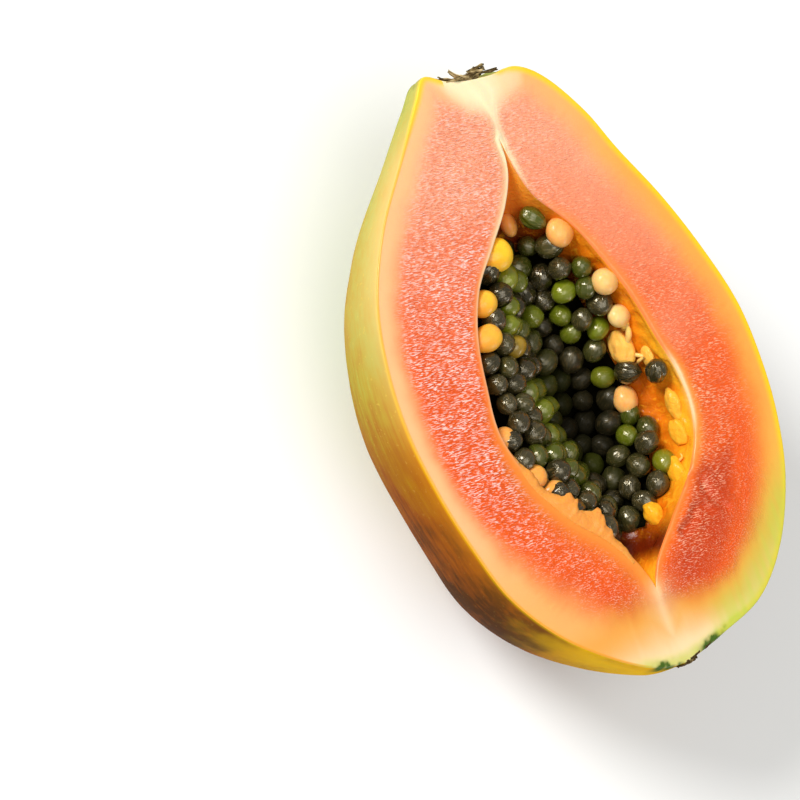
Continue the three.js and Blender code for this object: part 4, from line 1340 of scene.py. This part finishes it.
def seed_body(long, wide, wrinkle, taper, number, rows, columns):
    """A seed along z, in mm, with ridges that run along it, and its places for the pattern. It is
    pear-shaped by the taper, and has a small nib at its root."""
    theta = np.linspace(0, np.pi, rows)[:, None]
    phi = np.linspace(0, 2 * np.pi, columns, endpoint=False)[None, :]
    across, up = np.sin(theta), np.cos(theta)
    ridges = 1 - 2 * np.abs(noise(3.1 * np.cos(phi) + 17 * number, 3.1 * np.sin(phi), 1.3 * up, seed=61))
    lumps = noise(1.2 * np.cos(phi) + 9 * number, 1.2 * np.sin(phi), 1.2 * up, seed=62)
    radius = wide * across * (1 - taper * up) + (wrinkle * ridges + 0.05 * wide * lumps) * across
    nib = 0.1 * long * bell(np.pi - theta, 0.22)
    x, y = radius * np.cos(phi), radius * np.sin(phi)
    z = np.broadcast_to(long * up - nib, x.shape)
    place = np.stack([across * np.cos(phi), across * np.sin(phi), np.broadcast_to(up, x.shape)], -1)
    return np.stack([x, y, z], -1).reshape(-1, 3), place.reshape(-1, 3) + (7.3 * number, 3.1 * number, 0)


def heap_core():
    """The pulp that the heap of seeds sits in, painted as the shade between the seeds: a lens a little
    smaller than the heap.
    """
    s = np.linspace(PULP_FROM, PULP_TO, 60)[:, None]
    u = np.linspace(PULP_LEFT, PULP_RIGHT, 40)[None, :]
    x, y = plan_point(s, u, 2.5)
    floor = wall_level(s, u) + 0.7
    edge = smoothstep(u, PULP_LEFT, -0.8) * smoothstep(PULP_RIGHT - u, 0, 0.3)
    edge = edge * smoothstep(s, PULP_FROM, 0.34) * (1 - smoothstep(s, 0.76, PULP_TO))
    top = np.maximum(lerp(floor, heap_level(s, u) - SEED_DEPTH - 1.6, edge), floor + 0.3 * edge + 0.02)
    return np.stack([x, y, top], -1), np.stack([x, y, np.broadcast_to(floor, x.shape)], -1)


# How green each of the heap's greener seeds is, by its number in the heap. The rest are nearly black.
GREENER = {
    2: 0.86, 3: 0.6, 5: 0.84, 7: 0.62, 11: 0.62, 12: 0.78, 20: 0.45, 21: 0.4, 22: 0.35, 23: 0.55,
    25: 0.62, 28: 0.85, 32: 0.45, 34: 0.84, 35: 0.85, 36: 0.5, 38: 0.6, 39: 0.55, 41: 0.76, 42: 0.5,
    43: 0.88, 48: 0.65, 49: 0.76, 55: 0.72, 56: 0.55, 59: 0.74, 65: 0.55, 67: 0.6, 68: 0.45, 69: 0.86,
    71: 0.74, 72: 0.82, 73: 0.78, 74: 0.4, 76: 0.62, 78: 1.0, 80: 0.74, 85: 0.72, 87: 0.6, 95: 0.74,
    99: 0.62, 100: 0.72, 103: 0.74, 106: 0.62, 107: 0.65, 109: 0.45,
}


def ripe_seeds(sizes):
    """The heap of ripe seeds, darkened with painted shade the deeper they lie, and the pulp under them,
    painted all in that shade.
    """
    shape = Shape()
    upper, lower = heap_core()
    core_place = np.concatenate([upper.reshape(-1, 3), lower.reshape(-1, 3)]) / 3
    # The pulp is wholly in painted shade.
    slab(shape, upper, lower, seed_place=core_place, green=0.1, shade=1.0)
    draw = random_stream(20263)
    for number, seed in enumerate(heaped_seeds()):
        z = seed["at"][2]
        green = GREENER.get(number, 0.4 * next(draw))
        long, wide = SEED_LONG * seed["size"], SEED_WIDE * seed["size"]
        wrinkle = TO_MM * sizes.wrinkle * lerp(1.6, 0.2, green)
        points, place = seed_body(long, wide, wrinkle, 0.07 * next(draw), number, RIPE_ROWS, RIPE_COLUMNS)
        # The deeper a seed lies, the more painted shade it takes.
        shape.add(
            turned(points, seed["axis"], seed["at"]), grid_faces(RIPE_ROWS, RIPE_COLUMNS, closed=True),
            seed_place=place, green=green, shade=0.9 * smoothstep(-z, 15.0, 25.0),
        )
    return shape


def pale_seeds():
    """The seeds that never ripened and still grow from the hollow's wall, all under the cut."""
    shape = Shape()
    for number, (s, degrees, stand, long, tone) in enumerate(PALE_SEEDS):
        if number in PULP_LUMPS:
            continue
        point, inwards = off_wall(s, degrees, stand)
        points, place = seed_body(
            long, long * PALE_ROUND, PALE_WRINKLE, -0.14, 200 + number, PALE_ROWS, PALE_COLUMNS,
        )
        points *= (0.84 + 0.08 * (number % 3), 1.24 - 0.08 * (number % 4), 1)
        points = turned(points, inwards, point)
        points[:, 2] -= max(points[:, 2].max() + 0.1, 0)
        shape.add(points, grid_faces(PALE_ROWS, PALE_COLUMNS, closed=True), seed_place=place, tone=tone)
    return shape


def lone_seed(seed, number, sizes):
    """A ripe seed that clings to the wall, pointed at one end."""
    s, degrees, long, wide = seed["s"], seed["degrees"], seed["long"], seed["wide"]
    point, _ = off_wall(s, degrees, wide + 2 * GAP)
    start, _ = off_wall(s - 0.03, degrees + seed["slant"], 0)
    end, _ = off_wall(s + 0.03, degrees - seed["slant"], 0)
    rows, columns = 40, 56
    profile_radius = curve_through([p[0] for p in TEARDROP])
    profile_height = curve_through([p[1] for p in TEARDROP])
    t = np.linspace(0, 1, rows)[:, None]
    phi = np.linspace(0, 2 * np.pi, columns, endpoint=False)[None, :]
    ridges = 1 - 2 * np.abs(noise(2.6 * np.cos(phi) + 31 * number, 2.6 * np.sin(phi), 1.1 * t, seed=63))
    radius = np.maximum(profile_radius(t), 0) * (wide + 1.5 * TO_MM * sizes.wrinkle * ridges)
    x, y = radius * np.cos(phi), radius * np.sin(phi)
    z = np.broadcast_to(profile_height(t) * long, x.shape)
    points = np.stack([x, y, z], -1).reshape(-1, 3)
    place = points / (wide, wide, long) + (11.0 * number, 0, 0)
    shape = Shape()
    shape.add(
        turned(points, end - start, point), grid_faces(rows, columns, closed=True),
        seed_place=place, green=seed["green"], shade=0.0,
    )
    return shape


# The places in PALE_SEEDS that hold torn pulp instead of a seed.
PULP_LUMPS = (7, 12, 13, 14, 15, 16, 17)
# Lobes of soft pulp: station, degrees round from the right rim, stand off the wall, half widths
# along the fruit, across it and off the wall, and cream, yellow and depth for their colour.
LOBES = [
    (0.752, 12, 0.9, 4.6, 2.9, 2.3, 0.0, 1.0, 1), (0.812, 27, 1.2, 3.9, 2.7, 2.5, 0.0, 1.0, 2),
    (0.5, 24, 1.9, 5.0, 3.6, 2.8, 0.4, 0.8, 1), (0.455, 16, 0.9, 3.0, 1.9, 1.5, 0.45, 1.0, 1),
    (0.532, 13, 0.8, 3.4, 1.9, 1.4, 0.3, 1.0, 1), (0.628, 11, 1.0, 4.6, 2.6, 1.9, 0.12, 1.0, 1),
    (0.68, 12, 1.0, 4.3, 2.4, 1.8, 0.05, 1.0, 1),
]
# Strands between them: station and degrees of both ends, and half their width.
STRANDS = [
    (0.5, 20, 0.456, 15, 0.85), (0.508, 20, 0.532, 12, 0.75), (0.455, 15, 0.435, 12, 0.5),
    (0.53, 13, 0.54, 21, 0.5), (0.72, 7, 0.735, 12, 0.4),
]
# The flap of pulp that the spoon tore loose along the lower left rim: its stations, and how far it
# reaches over the hollow.
TORN_EDGE = [
    (0.6, 0.0), (0.63, 0.8), (0.665, 1.4), (0.7, 1.2), (0.716, 2.0), (0.728, 4.4), (0.745, 5.0),
    (0.757, 3.4), (0.768, 2.8), (0.78, 3.6), (0.79, 5.8), (0.803, 5.4), (0.812, 2.6), (0.828, 1.8),
    (0.84, 1.2), (0.856, 1.0), (0.875, 0.5), (0.9, 0.0),
]
TORN_ROOT = 1.6  # how far back over the rim the flap starts


def lump(centre, half_widths, number, raggedness, rows, columns):
    """The points of an uneven ball, and its faces."""
    theta = np.linspace(0, np.pi, rows)[:, None]
    phi = np.linspace(0, 2 * np.pi, columns, endpoint=False)[None, :]
    across, up = np.sin(theta), np.cos(theta)
    unit = np.stack([across * np.cos(phi), across * np.sin(phi), np.broadcast_to(up, (rows, columns))], -1)
    grow = 1 + raggedness * rough(*(unit[..., k] * 1.15 + 5 * number for k in range(3)), seed=71, octaves=2)
    points = unit * grow[..., None] * np.array(half_widths) + centre
    return points.reshape(-1, 3), grid_faces(rows, columns, closed=True)


def tube(path, radii, sides=9):
    """The points of a strand along a path of points, and its faces."""
    path = np.asarray(path, float)
    along = np.gradient(path, axis=0)
    along /= np.linalg.norm(along, axis=1, keepdims=True)
    side = np.cross(along, (0, 0, 1.0))
    side /= np.maximum(np.linalg.norm(side, axis=1, keepdims=True), 1e-9)
    over = np.cross(side, along)
    phi = np.linspace(0, 2 * np.pi, sides, endpoint=False)
    ring = np.cos(phi)[None, :, None] * side[:, None] + np.sin(phi)[None, :, None] * over[:, None]
    points = path[:, None] + ring * np.asarray(radii)[:, None, None]
    return points.reshape(-1, 3), grid_faces(len(path), sides, closed=True)


def on_wall(shape_points, s, degrees, stand):
    """Points of a small body, its z off the wall and its y along the fruit, set on the hollow's wall."""
    point, inwards = off_wall(s, degrees, stand)
    along = (off_wall(s - 0.02, degrees, 0)[0] - off_wall(s + 0.02, degrees, 0)[0]).normalized()
    across = along.cross(inwards).normalized()
    axes = np.array([across, inwards.cross(across), inwards])
    return np.asarray(shape_points) @ axes + np.array(point)


def torn_edge(shape):
    """The torn flap along the lower left rim: it leans out over the hollow and its edge is ragged."""
    rows, columns = 150, 14
    stations, reaches = zip(*TORN_EDGE)
    s = np.linspace(stations[0], stations[-1], rows)[:, None]
    t = np.linspace(0, 1, columns)[None, :]
    reach = np.interp(s, stations, reaches)
    reach = reach * (1 + 0.16 * noise(s * 70, 0.0, seed=91) + 0.1 * noise(s * 190, 0.0, seed=92))
    (x0, y0), (x1, y1) = rim_left(s), rim_left(s + 0.002)
    ahead = np.hypot(x1 - x0, y1 - y0)
    out_x, out_y = -(y1 - y0) / ahead, (x1 - x0) / ahead
    over = -TORN_ROOT + (reach + TORN_ROOT) * t
    x, y = x0 + out_x * over, y0 + out_y * over
    bumps = 0.5 * rough(x / 3.2, y / 3.2, seed=93)
    rise = -0.75 + 1.1 * np.sin(np.pi * 0.62 * t) * smoothstep(reach, 0, 4) - 0.9 * t**3
    rise = rise + bumps * smoothstep(over, -1, 1)
    thick = 0.35 + 0.9 * (1 - t) * smoothstep(reach, 0, 3)
    slab(shape, np.stack([x, y, rise], -1), np.stack([x, y, rise - thick], -1),
         depth=2.5, cream=0.1, yellow=0.3, peach=0.85)


def torn_pulp():
    """Lumps and scraps of pulp that the spoon left on the hollow's walls, and strands between them."""
    shape = Shape()
    for number, (s, degrees, stand, along, across, off, cream, yellow, depth) in enumerate(LOBES):
        points, faces = lump((0, 0, 0), (across, along, off), number, 0.3, 30, 44)
        points = on_wall(points, s, degrees, stand)
        points[:, 2] = np.minimum(points[:, 2], -0.4)
        shape.add(points, faces, depth=depth, cream=cream, yellow=yellow, peach=0.0)
    for number, (s0, d0, s1, d1, wide) in enumerate(STRANDS):
        t = np.linspace(0, 1, 18)
        bend = 2.5 * np.sin(np.pi * t) * (1 if number % 2 else -1)
        path = [off_wall(lerp(s0, s1, q), lerp(d0, d1, q) + b, 2.4 - 1.4 * q)[0]
                for q, b in zip(t.tolist(), bend.tolist())]
        radii = (wide + 0.15 * np.sin(2.3 * number + 5 * t)) * np.sin(np.pi * np.clip(t, 0.05, 0.95)) ** 0.5
        points, faces = tube(path, radii)
        shape.add(points, faces, depth=0.0, cream=0.75, yellow=1.0, peach=0.0)
    torn_edge(shape)
    return shape


# ---------------------------------------------------------------- the two scars

STEM_END, BLOSSOM_END = 1, -1
# The flakes along the knife's cut: root, heading, reach, width, curl, how tan and twist.
STEM_CUT_FLAKES = [
    ((-0.5, 85.2, -1.1), 3.1, 8.8, 1.6, 2.6, 0.15, 0.1), ((-1, 85.2, -1.4), 3.0, 5.6, 2.6, 2.0, 0.7, 0.3),
    ((1.5, 84.8, -1.0), 3.08, 4.8, 3.4, 3.2, 1.0, 0.5), ((2.4, 84.8, -1.2), 0.1, 5.8, 2.8, 1.4, 0.8, 0.4),
    ((7.6, 86.8, -1.0), 3.2, 6.0, 1.8, -1.2, 0.5, 0.5), ((3.2, 84.9, -0.9), 0.04, 8.6, 1.3, -0.6, 0.05, 0.2),
    ((2, 84.6, -0.8), 0.4, 4.0, 2.6, 2.4, 0.45, 0.6), ((6.2, 85.4, -1.2), 3.3, 4.6, 2.2, 0.8, 0.9, 0.3),
    ((4.6, 84.4, -0.7), 1.0, 3.0, 2.2, 1.6, 0.3, 0.4),
]
BLOSSOM_CUT_FLAKES = [
    ((1.2, -84.2, -0.5), 0.05, 3.6, 1.5, -0.9, 0.0, 0.3), ((3, -83.9, -0.4), 0.05, 3.4, 1.2, -1.1, 0.1, 0.4),
    ((0.6, -84.4, -0.5), 3.0, 2.2, 1.2, 0.2, 0.0, 0.2), ((-0.6, -84.2, -0.3), 0.6, 1.5, 0.8, 0.8, 1.0, 0.2),
    ((7, -83.2, -0.2), 0.05, 3.8, 0.9, -1.4, 0.0, 0.1),
]


def dry_flake(shape, end, root, heading, reach, width, curl, tan, number, lift, thick, twist=0.0):
    """A papery flake: it runs from its root over the rind, rises and curls, and its edge is ragged.
    The end of the fruit that it is on is 1 for the stem and -1 for the blossom."""
    rows, columns = 16, 7
    t = np.linspace(0, 1, rows)[:, None]
    w = np.linspace(-1, 1, columns)[None, :]
    (x0, y0, z0), (hx, hz) = root, (math.cos(heading), -math.sin(heading))
    ragged = 1 + 0.28 * noise(6 * t + 3 * number, 2 * w, seed=81)
    half = width / 2 * (1 - 0.8 * t**2.2) * (1 + 0.25 * np.sin(7 * t + number)) * ragged
    over = reach * t + 0.35 * noise(4 * w + number, 3.0, seed=82) * t
    rise = lift + curl * t**2 + 0.5 * noise(3 * t + number, 2 * w, seed=83) * t + twist * w * t
    crinkle = 0.22 * np.cos(math.pi * w * 1.5) * (1 - t)
    surfaces = []
    for side in (0, 1):
        height = rise + crinkle + side * thick * (1 - 0.5 * t)
        surfaces.append(np.stack([
            x0 + hx * over + hz * half * w, y0 + end * height, z0 + hz * over - hx * half * w,
        ], -1))
    fibre = np.stack([0.6 * reach * t + 0 * w, 3 * half * w + 0 * t, number + 0 * half], -1).reshape(-1, 3)
    shade = (tan - 0.35 * np.abs(w) ** 3 - 0.3 * (t > 0.85)).reshape(-1)
    slab(shape, *surfaces, tan=np.tile(shade, 2), fibre_place=np.tile(fibre, (2, 1)))


def scar_pad(shape, centre, half_widths, number, raggedness, rows, columns, tan, fibre_size):
    """The corky pad that a scar's flakes grow from, which stays under the cut."""
    points, faces = lump(centre, half_widths, number, raggedness, rows, columns)
    points[:, 2] = np.minimum(points[:, 2], -0.1)
    shape.add(points, faces, tan=tan, fibre_place=points * fibre_size)


def fan_of_flakes(
    shape, end, at, count, seed, first_heading, sweep, root_out, root_down, ranges, first_number, lift, thick,
):
    """Flakes side by side round the half of a scar that is left. Their headings are in half turns,
    and each one's reach, width, curl and tan are drawn from their ranges."""
    draw = random_stream(seed)
    for number in range(count):
        heading = math.pi * (first_heading + sweep * number / (count - 1))
        reach, width, curl, tan = [lerp(low, high, next(draw)) for low, high in ranges]
        root = (at[0] + root_out * math.cos(heading), at[1], -root_down - root_out * math.sin(heading))
        dry_flake(shape, end, root, heading, reach, width, curl, tan, first_number + number, lift, thick)


def cut_flakes(shape, end, flakes, first_number, lift, thick):
    """The flakes that stand along the knife's cut."""
    for number, (root, heading, reach, width, curl, tan, twist) in enumerate(flakes, first_number):
        dry_flake(shape, end, root, heading, reach, width, curl, tan, number, lift, thick, twist)


def stem_scar(sizes):
    """The dry corky scar with curled flakes where the stalk came off."""
    shape = Shape()
    thick = TO_MM * sizes.flake
    scar_pad(
        shape, (*STEM_SCAR_AT, -3.2), (6.6, 1.7, 5.6), number=3, raggedness=0.16, rows=20, columns=40,
        tan=0.15, fibre_size=0.9,
    )
    fan_of_flakes(
        shape, STEM_END, STEM_SCAR_AT, count=13, seed=33, first_heading=0.06, sweep=0.88,
        root_out=1.2, root_down=0.6, ranges=((5.5, 9.5), (2.4, 4.2), (0.2, 1.4), (0.35, 0.85)),
        first_number=0, lift=0.6, thick=thick,
    )
    cut_flakes(shape, STEM_END, STEM_CUT_FLAKES, first_number=40, lift=0.3, thick=thick)
    return shape


def blossom_scar(sizes):
    """The small dark dry scar at the tip."""
    shape = Shape()
    thick = TO_MM * sizes.flake
    scar_pad(
        shape, (*BLOSSOM_SCAR_AT, -1.8), (2.8, 1.1, 2.4), number=5, raggedness=0.25, rows=16, columns=30,
        tan=0.1, fibre_size=1,
    )
    fan_of_flakes(
        shape, BLOSSOM_END, BLOSSOM_SCAR_AT, count=8, seed=7, first_heading=0.03, sweep=0.94,
        root_out=0.0, root_down=0.7, ranges=((2.6, 4.6), (0.9, 1.9), (0.0, -0.5), (0.0, 0.5)),
        first_number=60, lift=0.5, thick=thick,
    )
    cut_flakes(shape, BLOSSOM_END, BLOSSOM_CUT_FLAKES, first_number=80, lift=0.15, thick=thick)
    return shape


# ---------------------------------------------------------------- the stage, in metres

FLOOR_HALF_WIDTH = 3
BACKDROP_COLOUR, BACKDROP_STRENGTH = "fafaf8", 0.4
# The lights: name, place, diameter and power in watts. All of them point at one place in the half.
LIGHTS = [
    ("key", (-1.1, 1.2, 1.15), 0.65, 35.5), ("fill", (-0.4, -0.2, 1.8), 1.3, 12.5),
    ("kick", (0.55, -1.25, 0.42), 0.5, 3.0),
]
LIT_PLACE = (0, 0, 0.05)
# The camera looks down on the cut face from the left, rolled until the stem end is at the top.
CAMERA_AT = (-0.3934, 0.036, 0.6678)
CAMERA_AIM = (-0.0564, 0.0095, 0.0648)
CAMERA_ROLL = math.radians(72.84)
CAMERA_LENS, CAMERA_SENSOR = 118.84, 36  # in mm


def facing(at, aim):
    """The turn that points a light or a camera at a place."""
    return (Vector(aim) - Vector(at)).to_track_quat("-Z", "Y").to_matrix().to_4x4()


# ---------------------------------------------------------------- operators

def settings():
    """The sizes that the user has set."""
    return bpy.context.scene.papaya_sizes


def finished(shape, name, node_name, makers, material_index=None):
    """A piece that stands for a node of the frame, which it hides, with the finishes that its makers make."""
    piece = shape.piece(name, [finish_of(maker) for maker in makers], material_index, merge=1e-6)
    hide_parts(node_name)
    return piece


class PAPAYA_OT_cut_half(bpy.types.Operator):
    """Make the cut half: lining, flesh and rind as one closed skin"""
    bl_idname = "papaya.cut_half"
    bl_label = "Cut half"

    def execute(self, context):
        shape, kinds = half_fruit(settings())
        finished(shape, "papaya_half", "half_fruit", [moist_lining, ripe_flesh, waxy_rind], kinds)
        return {"FINISHED"}


class PAPAYA_OT_pale_seeds(bpy.types.Operator):
    """Make the seeds that never ripened, on the hollow's walls"""
    bl_idname = "papaya.pale_seeds"
    bl_label = "Unripe seeds"

    def execute(self, context):
        finished(pale_seeds(), "unripe_seeds", "half_fruit", [unripe_seed_skin])
        return {"FINISHED"}


class PAPAYA_OT_torn_pulp(bpy.types.Operator):
    """Make the torn lumps and strands of pulp along the hollow's walls"""
    bl_idname = "papaya.torn_pulp"
    bl_label = "Torn pulp"

    def execute(self, context):
        finished(torn_pulp(), "torn_pulp", "half_fruit", [moist_lining])
        return {"FINISHED"}


class PAPAYA_OT_ripe_seeds(bpy.types.Operator):
    """Make the heap of ripe seeds and the dark pulp that it sits in"""
    bl_idname = "papaya.ripe_seeds"
    bl_label = "Ripe seeds"

    def execute(self, context):
        finished(ripe_seeds(settings()), "ripe_seeds", "seeds", [ripe_seed_skin])
        return {"FINISHED"}


class PAPAYA_OT_lone_seeds(bpy.types.Operator):
    """Make the ripe seeds that cling to the bare wall"""
    bl_idname = "papaya.lone_seeds"
    bl_label = "Lone seeds"

    def execute(self, context):
        for number, seed in enumerate(LONE_SEEDS, 1):
            shape = lone_seed(seed, number, settings())
            finished(shape, f"clinging_seed_{number}", f"lone_seed_{number}", [ripe_seed_skin])
        return {"FINISHED"}


class PAPAYA_OT_scars(bpy.types.Operator):
    """Make the dry scars where the stalk and the blossom were"""
    bl_idname = "papaya.scars"
    bl_label = "Stem and blossom scars"

    def execute(self, context):
        finished(stem_scar(settings()), "stalk_flakes", "stem_scar", [dried_stalk])
        finished(blossom_scar(settings()), "blossom_flakes", "blossom_scar", [dried_stalk])
        return {"FINISHED"}


class PAPAYA_OT_stage(bpy.types.Operator):
    """Make the floor, the lights and the camera"""
    bl_idname = "papaya.stage"
    bl_label = "Floor, lights and camera"

    def execute(self, context):
        scene = context.scene
        mesh = bpy.data.meshes.new("studio_floor")
        edge = FLOOR_HALF_WIDTH
        corners = [(-edge, -edge, 0), (edge, -edge, 0), (edge, edge, 0), (-edge, edge, 0)]
        mesh.from_pydata(corners, [], [(0, 1, 2, 3)])
        mesh.materials.append(finish_of(studio_paper))
        floor = bpy.data.objects.new("studio_floor", mesh)
        scene.collection.objects.link(floor)

        world = bpy.data.worlds.new("studio")
        world.use_nodes = True
        backdrop = world.node_tree.nodes["Background"]
        backdrop.inputs["Color"].default_value = linear(BACKDROP_COLOUR)
        backdrop.inputs["Strength"].default_value = BACKDROP_STRENGTH
        scene.world = world
        for name, place, size, power in LIGHTS:
            light = bpy.data.lights.new(name, "AREA")
            light.shape = "DISK"
            light.size = size
            light.energy = power
            lamp = bpy.data.objects.new(name, light)
            lamp.location = place
            lamp.rotation_euler = facing(place, LIT_PLACE).to_euler()
            scene.collection.objects.link(lamp)

        camera = bpy.data.cameras.new("camera")
        camera.lens = CAMERA_LENS
        camera.sensor_width = CAMERA_SENSOR
        seen_from = bpy.data.objects.new("camera", camera)
        turn = facing(CAMERA_AT, CAMERA_AIM) @ Matrix.Rotation(CAMERA_ROLL, 4, "Z")
        seen_from.matrix_world = Matrix.Translation(CAMERA_AT) @ turn
        scene.collection.objects.link(seen_from)
        scene.camera = seen_from
        scene.view_settings.view_transform = "Standard"
        return {"FINISHED"}


class PAPAYA_PT_panel(bpy.types.Panel):
    """The papaya's pieces, sizes and colours"""
    bl_idname = "PAPAYA_PT_panel"
    bl_label = "Papaya half"
    bl_space_type = "VIEW_3D"
    bl_region_type = "UI"
    bl_category = "Papaya"

    def draw(self, context):
        for operator in OPERATORS:
            self.layout.operator(operator.bl_idname)
        for group in (context.scene.papaya_sizes, context.scene.papaya_colours):
            column = self.layout.column()
            for name in group.__annotations__:
                column.prop(group, name)


OPERATORS = (
    PAPAYA_OT_cut_half, PAPAYA_OT_pale_seeds, PAPAYA_OT_torn_pulp, PAPAYA_OT_ripe_seeds,
    PAPAYA_OT_lone_seeds, PAPAYA_OT_scars, PAPAYA_OT_stage,
)
CLASSES = (PapayaSizes, PapayaColours, *OPERATORS, PAPAYA_PT_panel)


def register():
    for each in CLASSES:
        bpy.utils.register_class(each)
    bpy.types.Scene.papaya_sizes = bpy.props.PointerProperty(type=PapayaSizes)
    bpy.types.Scene.papaya_colours = bpy.props.PointerProperty(type=PapayaColours)


def unregister():
    del bpy.types.Scene.papaya_colours
    del bpy.types.Scene.papaya_sizes
    for each in reversed(CLASSES):
        bpy.utils.unregister_class(each)


def main():
    register()
    for operator in (
        bpy.ops.papaya.cut_half, bpy.ops.papaya.pale_seeds, bpy.ops.papaya.torn_pulp,
        bpy.ops.papaya.ripe_seeds, bpy.ops.papaya.lone_seeds, bpy.ops.papaya.scars, bpy.ops.papaya.stage,
    ):
        operator()


if __name__ == "__main__":
    main()
